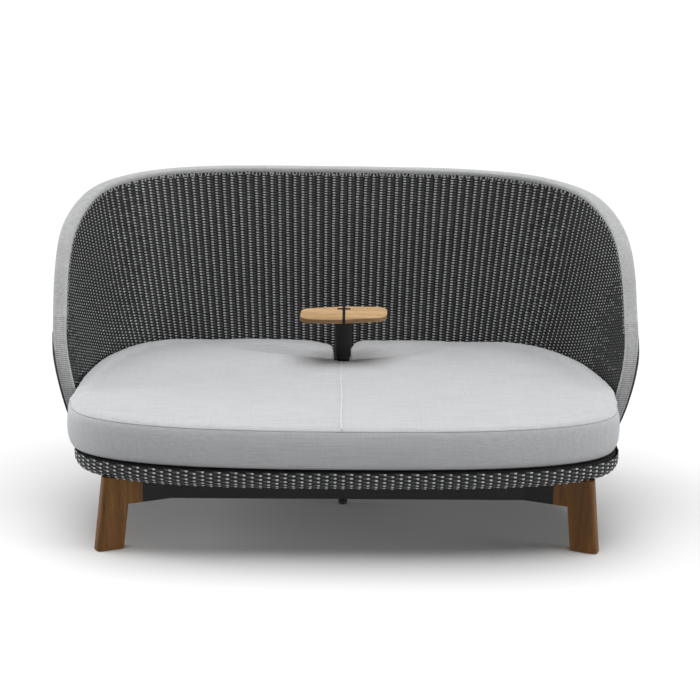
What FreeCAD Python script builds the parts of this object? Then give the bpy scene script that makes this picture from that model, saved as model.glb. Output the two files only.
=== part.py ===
import FreeCAD, Part
import os, math
import Sketcher

V = FreeCAD.Vector
ROT = FreeCAD.Rotation
doc = FreeCAD.newDocument("daybed")

# ---------------------------------------------------------------- sizes, in mm
SIZES = [
    ("y_shift", -29.5), ("z_floor", 0.0),
    # legs and under-frame
    ("leg_thick", 40.0), ("leg_in", 161.6), ("leg_out", 249.0), ("leg_base", 2.0), ("leg_top", 243.0),
    ("leg_lean", 0.11), ("leg_round", 15.0), ("tongue_end", 97.0), ("arm_angle", 22.6),
    ("rail_bottom", 150.0), ("rail_high", 84.5), ("rail_thick", 40.0), ("rail_half", 565.0), ("rear_half", 430.0), ("mitre", 8.0),
    ("rail_wall", 3.0), ("front_face", -386.5), ("rear_face", 262.0),
    ("cross_x", 380.0), ("cross_wide", 40.0), ("cross_bottom", 174.0), ("cross_high", 60.3),
    ("tenon_long", 120.0), ("tenon_high", 40.0), ("tenon_thick", 10.0), ("tenon_from", 37.0), ("tenon_base", 172.0), ("tenon_at", 15.0),
    ("slot_gap", 0.5), ("bolt_r", 4.0), ("bolt_gap", 0.3), ("bolt_head_r", 7.5), ("bolt_head_high", 4.5),
    ("glide_r", 13.0), ("glide_high", 6.0), ("glide_gap", 0.3),
    ("prop_r", 15.0), ("prop_y", -30.0), ("prop_glide_high", 10.0),
    # seat base
    ("tray_bottom", 235.0), ("tray_high", 60.0), ("tray_round", 38.0), ("tray_wall", 3.0),
    ("bearer_bottom", 238.3), ("bearer_high", 44.4), ("bearer_wide", 40.0), ("bearer_mid_wide", 80.0),
    ("bearer_front", -499.0), ("bearer_rear", 383.0), ("bearer_mid_front", -509.0), ("bearer_mid_rear", 398.0),
    ("bolt_y_front", -250.0), ("bolt_y_rear", 120.0),
    ("ring_inset", 22.0), ("ring_r", 13.0), ("ring_z", 283.0),
    ("deck_inset", 36.0), ("deck_z", 283.0), ("deck_thick", 14.0), ("deck_hole_r", 61.5),
    # shell
    ("wall_z", 298.0), ("wall_thick", 45.0), ("skin", 3.0), ("skin_in", 2.5), ("rim_half_wide", 23.0), ("rim_half_high", 11.0),
    ("rim_skin", 2.5), ("rim_gap", 0.4), ("rib_r", 8.0), ("skin_below_rim", 23.0), ("back_lean", 0.12),
    # cushion
    ("cush_front", 302.0), ("cush_power", 2.8), ("cush_bottom", 297.4), ("cush_side", 434.0),
    ("cush_top", 445.0), ("cush_gap", 2.0), ("cush_draw_in", 5.5), ("cush_swell", 13.0), ("cush_wall", 12.0), ("notch_half", 28.0),
    ("base_draw_in", 14.0), ("base_front", 300.0), ("base_power", 3.0), ("mid_y", -250.0),
    # post, sleeve and table
    ("post_y", 200.0), ("post_r", 23.5), ("post_base", 292.7), ("post_shoulder", 451.0),
    ("spindle_r", 20.0), ("spindle_top", 563.0), ("flange_r", 60.0), ("flange_z", 282.7), ("flange_thick", 10.0),
    ("flange_pcr", 42.0), ("screw_r", 3.5), ("screw_gap", 0.3), ("screw_head_r", 6.5), ("screw_head_high", 3.5),
    ("thrust_r", 27.0), ("thrust_bore", 20.3), ("thrust_thick", 2.0),
    ("sleeve_r", 28.0), ("sleeve_bore", 22.05), ("sleeve_bottom", 453.4), ("sleeve_top", 583.6),
    ("bush_r", 22.0), ("bush_bore", 20.05), ("bush_long", 25.0), ("bush_low_z", 453.8), ("bush_up_z", 537.3),
    ("keep_r", 21.5), ("keep_thick", 3.0), ("keep_screw_r", 4.0), ("keep_screw_long", 30.0), ("keep_head_r", 7.0), ("keep_head_high", 5.0),
    ("plate_wide", 140.0), ("plate_deep", 84.0), ("plate_z", 583.7), ("plate_thick", 5.0),
    ("top_z", 589.0), ("top_thick", 16.0), ("slit_half", 5.0), ("top_far", 150.0), ("top_back", 89.0), ("top_back_slit", 83.0),
    ("top_front_slit", -81.0), ("top_far_front_x", 146.0), ("top_far_front_y", -43.6), ("top_round_a", 45.0), ("top_round_b", 40.0),
    ("top_edge", 3.0), ("fin_half", 4.0), ("fin_front", -79.0), ("fin_back", 86.0), ("fin_z", 588.8), ("fin_high", 17.2),
    ("bar_half", 22.0), ("bar_y", 44.0), ("bar_deep", 8.0), ("bar_z", 601.0), ("bar_high", 7.5), ("bar_gap", 0.3),
    ("table_turn", -2.6), ("tscrew_x", 50.0), ("tscrew_y", 26.0), ("tscrew_r", 2.5), ("tscrew_head_r", 5.0), ("tscrew_head_high", 2.5), ("tscrew_long", 15.0),
]
sheet = doc.addObject("Spreadsheet::Sheet", "Dims")
VAL = {}
for i, (name, value) in enumerate(SIZES):
    sheet.set("A%d" % (i + 1), name)
    sheet.set("B%d" % (i + 1), repr(value))
    sheet.setAlias("B%d" % (i + 1), name)
    VAL[name] = value
doc.recompute()


class Size:
    """A number together with the sheet formula that gives it."""

    def __init__(self, value, text):
        self.value, self.text = value, text

    @staticmethod
    def of(other):
        return other if isinstance(other, Size) else Size(float(other), repr(float(other)))

    def __add__(self, o):
        o = Size.of(o)
        return Size(self.value + o.value, "(%s + %s)" % (self.text, o.text))

    def __sub__(self, o):
        o = Size.of(o)
        return Size(self.value - o.value, "(%s - %s)" % (self.text, o.text))

    def __mul__(self, o):
        o = Size.of(o)
        return Size(self.value * o.value, "(%s * %s)" % (self.text, o.text))

    def __neg__(self):
        return Size(-self.value, "(-1 * %s)" % self.text)


def D(name):
    return Size(VAL[name], "Dims." + name)


def bind(obj, prop, size):
    obj.setExpression(prop, Size.of(size).text)


NODES = []


def node(obj, label):
    obj.Label = label
    NODES.append(obj)
    return obj


# ---------------------------------------------------------------- sketch helpers
def plane_of(body, role):
    for f in body.Origin.OriginFeatures:
        if f.Role == role:
            return f


def new_body(name, x=0.0, y=0.0, z=0.0, turn=None):
    body = doc.addObject("PartDesign::Body", name)
    body.Placement = FreeCAD.Placement(V(Size.of(x).value, Size.of(y).value, Size.of(z).value), ROT(V(0, 0, 1), Size.of(turn or 0.0).value))
    bind(body, "Placement.Base.x", x)
    bind(body, "Placement.Base.y", y)
    bind(body, "Placement.Base.z", z)
    if turn is not None:
        bind(body, "Placement.Rotation.Angle", turn)
    return body


def new_sketch(body, name, role, lift=None):
    sk = body.newObject("Sketcher::SketchObject", name)
    sk.AttachmentSupport = [(plane_of(body, role), "")]
    sk.MapMode = "FlatFace"
    if lift is not None:
        sk.AttachmentOffset = FreeCAD.Placement(V(0, 0, Size.of(lift).value), ROT())
        bind(sk, "AttachmentOffset.Base.z", lift)
    return sk


COUNT = [0]


def pin_point(sk, geo, which, x, y):
    """Holds one point of a sketch at a sheet position."""
    for kind, size in (("DistanceX", Size.of(x)), ("DistanceY", Size.of(y))):
        COUNT[0] += 1
        if abs(size.value) < 1e-9 and not size.text.count("Dims"):
            ref = -2 if kind == "DistanceX" else -1
            sk.addConstraint(Sketcher.Constraint("PointOnObject", geo, which, ref))
            continue
        label = "d%d" % COUNT[0]
        i = sk.addConstraint(Sketcher.Constraint(kind, -1, 1, geo, which, size.value))
        sk.renameConstraint(i, label)
        sk.setExpression("Constraints." + label, size.text)


def polygon(sk, pts):
    pts = [(Size.of(a), Size.of(b)) for a, b in pts]
    n = len(pts)
    first = None
    for i in range(n):
        a, b = pts[i], pts[(i + 1) % n]
        g = sk.addGeometry(Part.LineSegment(V(a[0].value, a[1].value, 0), V(b[0].value, b[1].value, 0)), False)
        first = g if first is None else first
    for i in range(n):
        sk.addConstraint(Sketcher.Constraint("Coincident", first + i, 2, first + (i + 1) % n, 1))
    for i in range(n):
        pin_point(sk, first + i, 1, *pts[i])


def rectangle(sk, x0, y0, x1, y1):
    polygon(sk, [(x0, y0), (x1, y0), (x1, y1), (x0, y1)])


def circle(sk, x, y, r):
    x, y, r = Size.of(x), Size.of(y), Size.of(r)
    g = sk.addGeometry(Part.Circle(V(x.value, y.value, 0), V(0, 0, 1), r.value), False)
    pin_point(sk, g, 3, x, y)
    COUNT[0] += 1
    label = "r%d" % COUNT[0]
    i = sk.addConstraint(Sketcher.Constraint("Radius", g, r.value))
    sk.renameConstraint(i, label)
    sk.setExpression("Constraints." + label, r.text)


def pad(body, sk, name, length, back=False, mid=False):
    p = body.newObject("PartDesign::Pad", name)
    p.Profile = sk
    p.Length = Size.of(length).value
    bind(p, "Length", length)
    p.Reversed = back
    p.Midplane = mid
    sk.Visibility = False
    doc.recompute()
    return p


def pocket(body, sk, name, length=None, back=False, mid=False):
    before = body.Shape.Volume
    p = body.newObject("PartDesign::Pocket", name)
    p.Profile = sk
    if length is None:
        p.Type = "ThroughAll"
    else:
        p.Length = Size.of(length).value
        bind(p, "Length", length)
    p.Reversed = back
    p.Midplane = mid
    doc.recompute()
    if not body.Shape.Volume < before - 1e-3:
        raise RuntimeError("%s of %s cuts nothing" % (name, body.Name))
    return p


def fillet(body, name, edges, radius):
    f = body.newObject("PartDesign::Fillet", name)
    f.Base = (body.Tip if body.Tip is not f else f.BaseFeature, edges)
    f.Radius = Size.of(radius).value
    bind(f, "Radius", radius)
    doc.recompute()
    return f


def edges_where(shape, test):
    return ["Edge%d" % (i + 1) for i, e in enumerate(shape.Edges) if test(e)]


def revolve(body, name, pts):
    """Turns a closed (radius, height) outline once about the body's Z axis."""
    sk = new_sketch(body, name + "_outline", "XZ_Plane")
    polygon(sk, pts)
    r = body.newObject("PartDesign::Revolution", name + "_turn")
    r.Profile = sk
    r.ReferenceAxis = (sk, ["V_Axis"])
    r.Angle = 360.0
    doc.recompute()
    return body


def cylinder(name, x, y, z, r, high, axis=None):
    c = doc.addObject("Part::Cylinder", name)
    c.Radius, c.Height = Size.of(r).value, Size.of(high).value
    bind(c, "Radius", r)
    bind(c, "Height", high)
    rot = ROT(V(0, 0, 1), axis) if axis is not None else ROT()
    c.Placement = FreeCAD.Placement(V(Size.of(x).value, Size.of(y).value, Size.of(z).value), rot)
    bind(c, "Placement.Base.x", x)
    bind(c, "Placement.Base.y", y)
    bind(c, "Placement.Base.z", z)
    return c


def join(name, items):
    f = doc.addObject("Part::MultiFuse", name)
    f.Shapes = items
    return f


def group(name, items):
    g = doc.addObject("Part::Compound", name)
    g.Links = items
    return node(g, name)


YS = D("y_shift")

# ---------------------------------------------------------------- plan curves and shell functions


class Spline:
    """Natural cubic spline through (x, y) pairs."""

    def __init__(self, xs, ys):
        n = len(xs)
        self.xs, self.ys = xs, ys
        h = [xs[i + 1] - xs[i] for i in range(n - 1)]
        a = [0.0] * n
        b = [1.0] * n
        c = [0.0] * n
        d = [0.0] * n
        for i in range(1, n - 1):
            a[i], b[i], c[i] = h[i - 1], 2 * (h[i - 1] + h[i]), h[i]
            d[i] = 6 * ((ys[i + 1] - ys[i]) / h[i] - (ys[i] - ys[i - 1]) / h[i - 1])
        for i in range(1, n):
            w = a[i] / b[i - 1]
            b[i] -= w * c[i - 1]
            d[i] -= w * d[i - 1]
        m = [0.0] * n
        m[-1] = d[-1] / b[-1]
        for i in range(n - 2, -1, -1):
            m[i] = (d[i] - c[i] * m[i + 1]) / b[i]
        self.m, self.h = m, h

    def _at(self, x):
        lo, hi = 0, len(self.xs) - 2
        while lo < hi:
            mid = (lo + hi + 1) // 2
            if self.xs[mid] <= x:
                lo = mid
            else:
                hi = mid - 1
        return lo

    def __call__(self, x):
        i = self._at(x)
        h, m, y = self.h[i], self.m, self.ys
        a, b = self.xs[i + 1] - x, x - self.xs[i]
        return (m[i] * a ** 3 + m[i + 1] * b ** 3) / (6 * h) + (y[i] / h - m[i] * h / 6) * a + (y[i + 1] / h - m[i + 1] * h / 6) * b

    def slope(self, x):
        i = self._at(x)
        h, m, y = self.h[i], self.m, self.ys
        a, b = self.xs[i + 1] - x, x - self.xs[i]
        return (-m[i] * a ** 2 + m[i + 1] * b ** 2) / (2 * h) + (y[i + 1] - y[i]) / h - (m[i + 1] - m[i]) * h / 6


def mirrored(pts):
    return [(-x, y) for x, y in pts[:0:-1]] + list(pts)


# inside face of the back wall, seen from above at seat height, right half from the back centre forwards
BACK_PLAN = [(0, 441), (213, 437.5), (354, 432), (495, 412), (633, 366), (699, 322), (760, 245), (812, 148), (850, 20), (874, -100), (884, -200), (888, -250)]
full = mirrored(BACK_PLAN)
run = [0.0]
for p, q in zip(full, full[1:]):
    run.append(run[-1] + math.hypot(q[0] - p[0], q[1] - p[1]))
half_run = run[-1] / 2
run = [r - half_run for r in run]
PLAN_X, PLAN_Y = Spline(run, [p[0] for p in full]), Spline(run, [p[1] for p in full])

# how far the wall has moved outwards at each height
FLARE = Spline([200, 280, 440, 620, 800, 1000, 1100], [-75, -46, 0, 46, 78, 108, 122])

# top edge of the rim: distance along the wall from the back centre, and height
RIM = [(0, 1031), (150, 1031), (300, 1031), (450, 1030), (560, 1027.5), (650, 1021), (720, 1010), (790, 993), (850, 969), (920, 927), (980, 877), (1030, 823),
       (1075, 767), (1115, 709), (1158, 652), (1205, 598), (1243, 541), (1265, 484), (1272, 428), (1269, 380), (1258, 336), (1246, 299)]
rim_full = mirrored(RIM)
rrun = [0.0]
for p, q in zip(rim_full, rim_full[1:]):
    rrun.append(rrun[-1] + math.hypot(q[0] - p[0], q[1] - p[1]))
RIM_HALF = rrun[-1] / 2
rrun = [r - RIM_HALF for r in rrun]
RIM_S, RIM_Z = Spline(rrun, [p[0] for p in rim_full]), Spline(rrun, [p[1] for p in rim_full])


def wall_point(s, z, out):
    tx, ty = PLAN_X.slope(s), PLAN_Y.slope(s)
    n = math.hypot(tx, ty)
    nx, ny = -ty / n, tx / n
    lean = 1.0 + VAL["back_lean"] * math.exp(-(s / 700.0) ** 4)
    d = FLARE(z) * lean + out
    return V(PLAN_X(s) + nx * d, PLAN_Y(s) + ny * d + VAL["y_shift"], z)


def rim_point(r, inset):
    ts, tz = RIM_S.slope(r), RIM_Z.slope(r)
    n = math.hypot(ts, tz)
    return RIM_S(r) + inset * tz / n, RIM_Z(r) - inset * ts / n


def ease(t):
    t = min(1.0, max(0.0, t))
    return t * t * (3.0 - 2.0 * t)


def plan_loop(front, power, level, inset, gap=0.0, upright=False, draw_in=0.0, swell=0.0, count=96):
    """Closed outline seen from above: back wall line behind, a squared oval in front.
    upright: ahead of the wings the outline keeps its width at seat height, whatever the level.
    draw_in: how much narrower the outline gets beside the wings' front edges.
    swell: how much wider it gets again ahead of them."""
    pts = []
    s_end = half_run
    for i in range(201):
        s = -s_end + 2 * s_end * i / 200.0
        lev = level
        if upright:
            lev = level + (440.0 - level) * ease((abs(s) - 1285.0) / 50.0)
        p = wall_point(s, lev, gap - draw_in * ease((abs(s) - 1080.0) / 220.0) + swell * ease((abs(s) - 1292.0) / 44.0))
        pts.append((p.x, p.y))
    side = pts[-1][0]
    y0 = pts[-1][1]
    deep = front - (VAL["mid_y"] - (y0 - VAL["y_shift"]))
    for i in range(1, 48):
        t = math.pi * i / 48.0
        c, s = math.cos(t), math.sin(t)
        x = side * math.copysign(abs(c) ** (2 / power), c)
        y = y0 - deep * abs(s) ** (2 / power)
        pts.append((x, y))
    # even spacing, then move inwards
    run = [0.0]
    n = len(pts)
    for i in range(n):
        a, b = pts[i], pts[(i + 1) % n]
        run.append(run[-1] + math.hypot(b[0] - a[0], b[1] - a[1]))
    even = []
    k = 0
    for j in range(4 * count):
        d = run[-1] * j / (4.0 * count)
        while run[k + 1] < d:
            k += 1
        f = (d - run[k]) / (run[k + 1] - run[k])
        a, b = pts[k % n], pts[(k + 1) % n]
        even.append((a[0] + f * (b[0] - a[0]), a[1] + f * (b[1] - a[1])))
    out = []
    m = len(even)
    for j in range(0, m, 4):
        a, b = even[j - 6], even[(j + 6) % m]
        tx, ty = b[0] - a[0], b[1] - a[1]
        ln = math.hypot(tx, ty)
        out.append((even[j][0] + inset * (-ty / ln) * -1.0, even[j][1] + inset * (tx / ln) * -1.0))
    return out


def loop_wire(pts, z):
    c = Part.BSplineCurve()
    c.interpolate(Points=[V(x, y, z) for x, y in pts], PeriodicFlag=True)
    return Part.Wire([c.toShape()])


def base_loop(inset):
    return plan_loop(VAL["base_front"], VAL["base_power"], VAL["wall_z"], inset, VAL["wall_thick"] - 0.5, draw_in=VAL["base_draw_in"])


def solid_from(faces):
    shell = Part.Shell(faces)
    if not shell.isClosed():
        sewn = Part.Compound(faces).copy()
        sewn.sewShape(0.01)
        shell = sewn.Shells[0]
    solid = Part.Solid(shell)
    if solid.Volume < 0:
        solid.reverse()
        solid = Part.Solid(solid.Shells[0])
    return solid


def feature(label, shape):
    f = doc.addObject("Part::Feature", label)
    f.Shape = shape
    return f


# ---------------------------------------------------------------- seat base outline block, used to shape the leg tops
def rounded_block(name, inset, z, high, radius):
    loop = feature(name + "_outline", loop_wire(base_loop(inset), 0.0))
    loop.Placement = FreeCAD.Placement(V(0, 0, Size.of(z).value), ROT())
    bind(loop, "Placement.Base.z", z)
    ext = doc.addObject("Part::Extrusion", name + "_block")
    ext.Base = loop
    ext.DirMode = "Custom"
    ext.Dir = V(0, 0, 1)
    ext.LengthFwd = Size.of(high).value
    bind(ext, "LengthFwd", high)
    ext.Solid = True
    doc.recompute()
    if radius is None:
        return ext
    low = [i + 1 for i, e in enumerate(ext.Shape.Edges) if abs(e.BoundBox.ZMax - Size.of(z).value) < 0.01]
    f = doc.addObject("Part::Fillet", name + "_round")
    f.Base = ext
    f.Edges = [(i, Size.of(radius).value, Size.of(radius).value) for i in low]
    doc.recompute()
    return f


tray_outer = rounded_block("tray_outer", 0.0, D("tray_bottom"), D("tray_high"), D("tray_round"))
tray_inner = rounded_block("tray_inner", VAL["tray_wall"], D("tray_bottom") + D("tray_wall"), D("tray_high"), D("tray_round") - D("tray_wall"))
leg_clear = rounded_block("leg_clear", -0.6, D("tray_bottom") - 0.4, D("tray_high") + 20.0, D("tray_round"))

# ---------------------------------------------------------------- legs: upright plank with a short tongue at the top
LEGS = [("leg_front_right", 1, 1), ("leg_front_left", -1, 1), ("leg_rear_right", 1, -1), ("leg_rear_left", -1, -1)]


def corner_frame(sx, sy):
    """Start of the angled arm, the turn about Z and whether the thickness runs along +Y of the turned frame."""
    x = (D("rail_half") if sy > 0 else D("rear_half")) * sx
    y = (D("front_face") if sy > 0 else D("rear_face")) + YS
    ang = D("arm_angle")
    if sx > 0 and sy > 0:
        return x, y, -ang, True
    if sx < 0 and sy > 0:
        return x, y, ang + 180.0, False
    if sx > 0:
        return x, y, ang, False
    return x, y, -ang + 180.0, True


for label, sx, sy in LEGS:
    x, y, turn, plus = corner_frame(sx, sy)
    sgn = 1.0 if plus else -1.0
    b = new_body(label + "_plank", x, y, 0.0, turn)
    sk = new_sketch(b, label + "_outline", "XZ_Plane")
    up = D("leg_top") - D("leg_base")
    polygon(sk, [
        (D("leg_in") - D("leg_lean") * D("leg_base"), D("leg_base")),
        (D("leg_out"), D("leg_base")),
        (D("leg_out") - D("leg_lean") * up, D("leg_top")),
        (D("tongue_end"), D("leg_top")),
        (D("tongue_end"), D("rail_bottom")),
        (D("leg_in") - D("leg_lean") * D("rail_bottom"), D("rail_bottom")),
    ])
    p = pad(b, sk, label + "_pad", D("leg_thick"), back=plus)
    tip = p.Shape
    # the pad shape is in the body's own frame; the outer upright edges get a round
    def outer_front(e):
        bb = e.BoundBox
        return bb.ZLength > 180 and bb.XMin > 200 and abs(bb.YMin) < 0.01 and abs(bb.YMax) < 0.01

    def outer_back(e):
        bb = e.BoundBox
        return bb.ZLength > 180 and bb.XMin > 200 and abs(bb.YMin - sgn * VAL["leg_thick"]) < 0.01 and abs(bb.YMax - sgn * VAL["leg_thick"]) < 0.01

    fillet(b, label + "_round", edges_where(tip, outer_front), D("leg_round"))
    fillet(b, label + "_round_back", edges_where(b.Tip.Shape, outer_back), D("leg_round") * 0.5)
    sk = new_sketch(b, label + "_slot", "XZ_Plane", -(D("tenon_at") - D("slot_gap") * 0.5) * sgn)
    rectangle(sk, D("tongue_end") - 1.0, D("tenon_base") - D("slot_gap"), D("tenon_from") + D("tenon_long") + D("slot_gap"), D("tenon_base") + D("tenon_high") + D("slot_gap"))
    pocket(b, sk, label + "_tenon_slot", D("tenon_thick") + D("slot_gap"), back=not plus)
    sk = new_sketch(b, label + "_bolt_holes", "XZ_Plane", -Size.of(sgn * 20.0))
    for u in (16.0, 42.0):
        circle(sk, D("tongue_end") + u, D("tenon_base") + D("tenon_high") * 0.5, D("bolt_r") + D("bolt_gap"))
    pocket(b, sk, label + "_bolts_in", Size.of(30.0), back=not plus)
    sk = new_sketch(b, label + "_glide_hole", "XY_Plane")
    circle(sk, (D("leg_in") + D("leg_out")) * 0.5, D("leg_thick") * 0.5 * sgn, D("glide_r") + D("glide_gap"))
    pocket(b, sk, label + "_glide_in", D("glide_high") + D("glide_gap"), back=True)
    cut = doc.addObject("Part::Cut", label + "_shaped")
    cut.Base, cut.Tool = b, leg_clear
    node(cut, label)

doc.recompute()

# ---------------------------------------------------------------- rails, arms, tenons and bolts
for label, face, sy in (("front_rail", D("front_face"), 1.0), ("rear_rail", D("rear_face"), -1.0)):
    b = new_body(label, 0.0, face + YS, D("rail_bottom"))
    sk = new_sketch(b, label + "_outline", "XY_Plane")
    t = D("rail_thick") * sy
    half = D("rail_half") if sy > 0 else D("rear_half")
    polygon(sk, [(-half, 0.0), (half, 0.0), (half + D("mitre"), t), (-half - D("mitre"), t)])
    pad(b, sk, label + "_pad", D("rail_high"))
    sk = new_sketch(b, label + "_hollow", "YZ_Plane")
    w = D("rail_wall")
    lo, hi = (w, D("rail_thick") - w) if sy > 0 else (-D("rail_thick") + w, -w)
    rectangle(sk, lo, w, hi, D("rail_high") - w)
    pocket(b, sk, label + "_inside", mid=True)
    node(b, label)

tenons, leg_bolts, glides = [], [], []
for label, sx, sy in LEGS:
    x, y, turn, plus = corner_frame(sx, sy)
    sgn = 1.0 if plus else -1.0
    arm = label.replace("leg_", "arm_")
    b = new_body(arm, x, y, D("rail_bottom"), turn)
    sk = new_sketch(b, arm + "_outline", "XY_Plane")
    t = D("rail_thick") * sgn
    polygon(sk, [(0.1, 0.0), (D("tongue_end") - 0.2, 0.0), (D("tongue_end") - 0.2, t), (-D("mitre") + 0.1, t)])
    pad(b, sk, arm + "_pad", D("rail_high"))
    sk = new_sketch(b, arm + "_hollow", "YZ_Plane")
    w = D("rail_wall")
    lo, hi = (w, D("rail_thick") - w) if plus else (-D("rail_thick") + w, -w)
    rectangle(sk, lo, w, hi, D("rail_high") - w)
    pocket(b, sk, arm + "_inside", mid=True)
    node(b, arm)
    # tenon plate: half in the arm, half in the leg
    b = new_body(label + "_tenon", x, y, 0.0, turn)
    sk = new_sketch(b, label + "_tenon_outline", "XZ_Plane", -D("tenon_at") * sgn)
    rectangle(sk, D("tenon_from"), D("tenon_base"), D("tenon_from") + D("tenon_long"), D("tenon_base") + D("tenon_high"))
    pad(b, sk, label + "_tenon_pad", D("tenon_thick"), back=plus)
    sk = new_sketch(b, label + "_tenon_holes", "XZ_Plane")
    for u in (16.0, 42.0):
        circle(sk, D("tongue_end") + u, D("tenon_base") + D("tenon_high") * 0.5, D("bolt_r") + D("bolt_gap"))
    pocket(b, sk, label + "_tenon_drill", mid=True)
    tenons.append(b)
    # bolts from the hidden face of the tongue
    for k, u in enumerate((16.0, 42.0)):
        ang = turn.value
        place = FreeCAD.Placement(V(x.value, y.value, 0), ROT(V(0, 0, 1), ang))
        h = VAL["tenon_base"] + VAL["tenon_high"] / 2
        uu = VAL["tongue_end"] + u
        axis = ROT(V(1, 0, 0), 90.0)      # cylinder along -Y of the turned frame
        parts = []
        for nm, r, v0, ln in (("shank", VAL["bolt_r"], 15.5, 24.5), ("head", VAL["bolt_head_r"], VAL["leg_thick"] + 0.05, VAL["bolt_head_high"])):
            c = doc.addObject("Part::Cylinder", "%s_bolt_%d_%s" % (label, k, nm))
            c.Radius, c.Height = r, ln
            bind(c, "Radius", D("bolt_r") if nm == "shank" else D("bolt_head_r"))
            if nm == "head":
                bind(c, "Height", D("bolt_head_high"))
            else:
                c.Height = ln + 0.1
            top = sgn * v0 if not plus else sgn * (v0 + (VAL["bolt_head_high"] if nm == "head" else ln + 0.1))
            c.Placement = place.multiply(FreeCAD.Placement(V(uu, top, h), axis))
            parts.append(c)
        leg_bolts.append(join("%s_bolt_%d" % (label, k), parts))
    g = doc.addObject("Part::Cylinder", label + "_glide")
    g.Radius, g.Height = VAL["glide_r"], VAL["glide_high"]
    bind(g, "Radius", D("glide_r"))
    bind(g, "Height", D("glide_high"))
    place = FreeCAD.Placement(V(x.value, y.value, 0), ROT(V(0, 0, 1), turn.value))
    g.Placement = place.multiply(FreeCAD.Placement(V((VAL["leg_in"] + VAL["leg_out"]) / 2, sgn * VAL["leg_thick"] / 2, 0), ROT()))
    glides.append(g)
group("leg_tenons", tenons)
group("leg_bolts", leg_bolts)
group("leg_glides", glides)

CROSS = [("left", -1.0), ("centre", 0.0), ("right", 1.0)]
inner_front = D("front_face") + D("rail_thick") + 0.1
inner_rear = D("rear_face") - D("rail_thick") - 0.1
for side, sx in CROSS:
    label = "cross_rail_" + side
    b = new_body(label, D("cross_x") * sx, YS, D("cross_bottom"))
    sk = new_sketch(b, label + "_outline", "XY_Plane")
    rectangle(sk, -D("cross_wide") * 0.5, inner_front, D("cross_wide") * 0.5, inner_rear)
    pad(b, sk, label + "_pad", D("cross_high"))
    sk = new_sketch(b, label + "_hollow", "XZ_Plane")
    rectangle(sk, D("rail_wall") - D("cross_wide") * 0.5, D("rail_wall"), D("cross_wide") * 0.5 - D("rail_wall"), D("cross_high") - D("rail_wall"))
    pocket(b, sk, label + "_inside", mid=True)
    sk = new_sketch(b, label + "_holes", "XY_Plane")
    for yy in ("bolt_y_front", "bolt_y_rear"):
        circle(sk, 0.0, D(yy), D("bolt_r") + D("bolt_gap"))
    pocket(b, sk, label + "_drill", mid=True)
    node(b, label)

# ---------------------------------------------------------------- centre prop and its glide
b = new_body("centre_prop", 0.0, D("prop_y") + YS, 0.0)
revolve(b, "centre_prop", [
    (D("prop_r") - D("rail_wall"), D("prop_glide_high") + 0.1), (D("prop_r"), D("prop_glide_high") + 0.1),
    (D("prop_r"), D("cross_bottom") - 0.1), (D("prop_r") - D("rail_wall"), D("cross_bottom") - 0.1)])
node(b, "centre_prop")
b = new_body("centre_glide", 0.0, D("prop_y") + YS, 0.0)
revolve(b, "centre_glide", [
    (0.0, 0.0), (D("prop_r") - 1.5, 0.0), (D("prop_r"), 1.5), (D("prop_r"), D("prop_glide_high")),
    (D("prop_r") - D("rail_wall") - 0.3, D("prop_glide_high")), (D("prop_r") - D("rail_wall") - 0.3, D("prop_glide_high") + 18.0), (0.0, D("prop_glide_high") + 18.0)])
node(b, "centre_glide")

# ---------------------------------------------------------------- bearers inside the seat base, and their bolts
bearer_bolts = []
for side, sx in CROSS:
    label = "bearer_" + side
    wide = D("bearer_mid_wide") if sx == 0 else D("bearer_wide")
    y0 = D("bearer_mid_front") if sx == 0 else D("bearer_front")
    y1 = D("bearer_mid_rear") if sx == 0 else D("bearer_rear")
    b = new_body(label, D("cross_x") * sx, YS, D("bearer_bottom"))
    sk = new_sketch(b, label + "_outline", "XY_Plane")
    rectangle(sk, -wide * 0.5, y0, wide * 0.5, y1)
    pad(b, sk, label + "_pad", D("bearer_high"))
    sk = new_sketch(b, label + "_hollow", "XZ_Plane")
    rectangle(sk, D("rail_wall") - wide * 0.5, D("rail_wall"), wide * 0.5 - D("rail_wall"), D("bearer_high") - D("rail_wall"))
    pocket(b, sk, label + "_inside", mid=True)
    sk = new_sketch(b, label + "_holes", "XY_Plane")
    for yy in ("bolt_y_front", "bolt_y_rear"):
        circle(sk, 0.0, D(yy), D("bolt_r") + D("bolt_gap"))
    pocket(b, sk, label + "_drill", D("rail_wall") + 1.0, back=True)
    if sx == 0:
        sk = new_sketch(b, label + "_flange_holes", "XY_Plane", D("bearer_high") + 1.0)
        for k in range(4):
            a = math.radians(45 + 90 * k)
            circle(sk, D("flange_pcr") * math.cos(a), D("post_y") + D("flange_pcr") * math.sin(a), D("screw_r") + D("screw_gap"))
        pocket(b, sk, label + "_flange_drill", D("rail_wall") + 2.0)
    node(b, label)
    for k, yy in enumerate(("bolt_y_front", "bolt_y_rear")):
        x, y = D("cross_x") * sx, D(yy) + YS
        shank = cylinder("%s_bolt_%d_shank" % (label, k), x, y, D("cross_bottom") - 0.2, D("bolt_r"), D("bearer_bottom") - D("cross_bottom") + 14.0)
        head = cylinder("%s_bolt_%d_head" % (label, k), x, y, D("cross_bottom") - D("bolt_head_high") - 0.1, D("bolt_head_r"), D("bolt_head_high"))
        bearer_bolts.append(join("%s_bolt_%d" % (label, k), [shank, head]))
group("bearer_bolts", bearer_bolts)

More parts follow.
